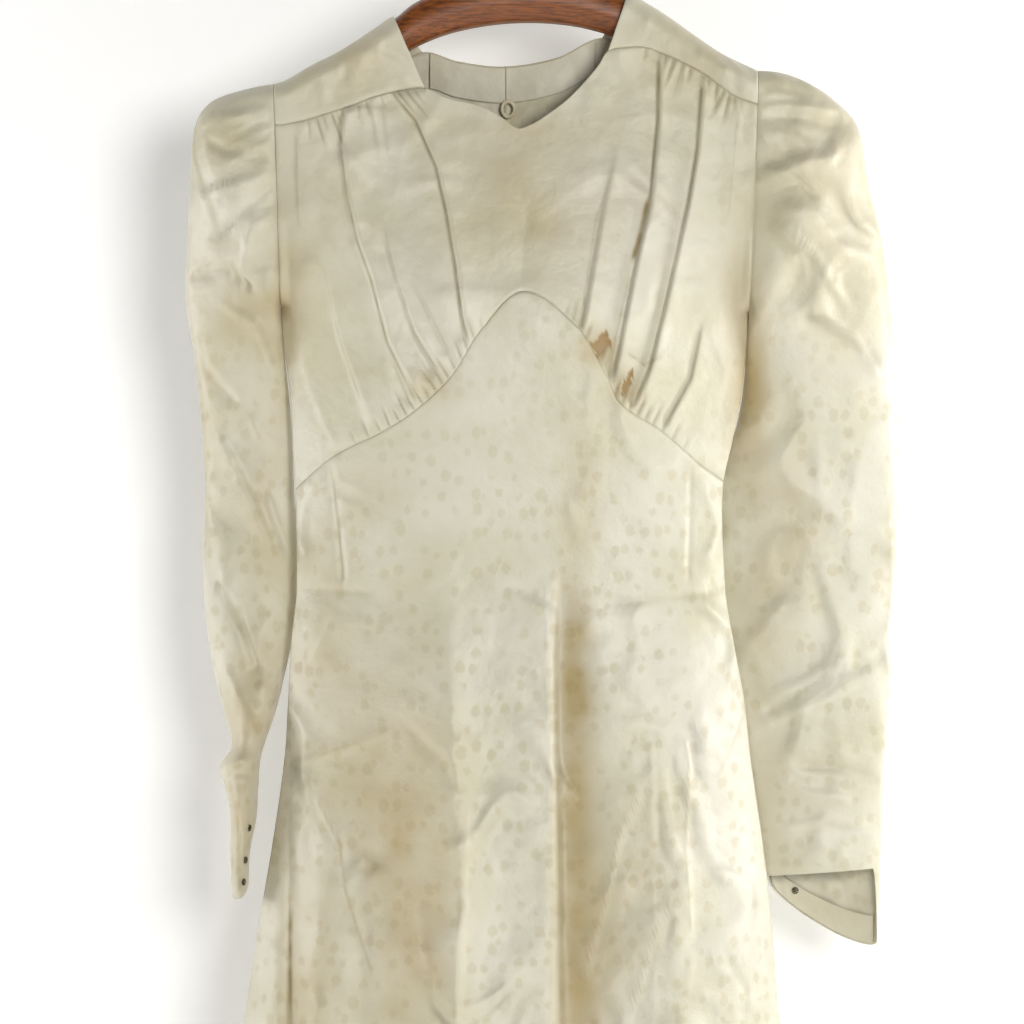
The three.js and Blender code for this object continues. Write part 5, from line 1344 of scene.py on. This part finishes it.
def stud_mesh(name, centre, axis):
    """A turned disc with a rounded rim, a shallow ring and a raised knob in its middle."""
    profile = np.array([
        (0.0, -0.5), (1.0, -0.5), (1.04, -0.2), (1.0, 0.15), (0.86, 0.3), (0.7, 0.22), (0.58, 0.1),
        (0.42, 0.12), (0.34, 0.45), (0.2, 0.62), (0.0, 0.66)])
    side = np.cross(axis, (0.0, 0.0, 1.0))
    side /= np.linalg.norm(side)
    up = np.cross(side, axis)
    turn = turns(32)[None, :, None]
    radius = (profile[1:-1, 0] * STUD_RADIUS)[:, None, None]
    height = (profile[1:-1, 1] * STUD_THICK)[:, None, None]
    points = centre + radius * (np.cos(turn) * side + np.sin(turn) * up) + height * axis
    return grid_mesh(name, points, closed=True, caps=True)


stud_finish = finish("blackened_brass", blackened_brass)
for node, wrist in STUDS.items():
    facing = np.array(STUD_FACING[wrist]) / np.linalg.norm(STUD_FACING[wrist])
    place(stud_mesh(f"{node}_turned", middle_of(node), facing), stud_finish, [node])


# The stage: a white wall close behind the dress, which takes a soft shadow on the left, and a
# floor under the hem. The main light comes from the right and above; a weak one fills in from the
# left, and one at each side skims the wall.
WALL_BEHIND = 138
WALL_TOP = 2000
FLOOR_BELOW = -1575
STAGE_HALF = 3200


def studio_paint(tree):
    """Matt white paint, faintly lit of itself. The side away from the dress is clear, so the wall
    and the floor don't stand before the dress when it is seen from behind or from below."""
    shader = add_node(tree, "BsdfPrincipled", values={
        "Base Color": srgb("#fbfbfb"), "Roughness": 0.9,
        "Emission Color": srgb("#ffffff"), "Emission Strength": 0.16})
    clear = add_node(tree, "BsdfTransparent")
    far_side = add_node(tree, "NewGeometry").outputs["Backfacing"]
    one_sided = add_node(tree, "MixShader", values={
        0: far_side, 1: shader.outputs[0], 2: clear.outputs[0]})
    return one_sided.outputs[0]


paint = finish("matt_white_paint", studio_paint)
for name, near, far, low, high in (
        ("wall", WALL_BEHIND, WALL_BEHIND, FLOOR_BELOW, WALL_TOP),
        ("floor", -STAGE_HALF, WALL_BEHIND, FLOOR_BELOW, FLOOR_BELOW)):
    corners = [(-STAGE_HALF, near, low), (STAGE_HALF, near, low),
               (STAGE_HALF, far, high), (-STAGE_HALF, far, high)]
    mesh = bpy.data.meshes.new(name)
    mesh.from_pydata([tuple(c * MM for c in corner) for corner in corners], [], [(0, 1, 2, 3)])
    mesh.materials.append(paint)
    plane = bpy.data.objects.new(name, mesh)
    bpy.context.scene.collection.objects.link(plane)


Lamp = namedtuple("Lamp", "name place aim size power tint")
LAMPS = [
    Lamp("key", (1050, -3050, 0), (0, 0, -640), 1300, 58, "#fffefb"),
    Lamp("fill", (-1900, -2100, -900), (0, 0, -600), 2200, 5, "#fbfcff"),
    Lamp("skim_right", (1300, 0, -400), (100, 138, -480), 700, 13, "#ffffff"),
    Lamp("skim_left", (-1700, 20, -500), (-500, 138, -480), 700, 14, "#ffffff"),
]
for lamp in LAMPS:
    data = bpy.data.lights.new(lamp.name, "AREA")
    data.shape = "DISK"
    data.size = lamp.size * MM
    data.energy = lamp.power
    data.color = srgb(lamp.tint)[:3]
    light = bpy.data.objects.new(lamp.name, data)
    light.location = [c * MM for c in lamp.place]
    towards = Vector([(a - b) * MM for a, b in zip(lamp.aim, lamp.place)])
    light.rotation_euler = towards.to_track_quat("-Z", "Y").to_euler()
    bpy.context.scene.collection.objects.link(light)

world = bpy.data.worlds.new("studio")
world.use_nodes = True
sky = world.node_tree.nodes["Background"]
sky.inputs["Color"].default_value = srgb("#ffffff")
sky.inputs["Strength"].default_value = 0.12
bpy.context.scene.world = world
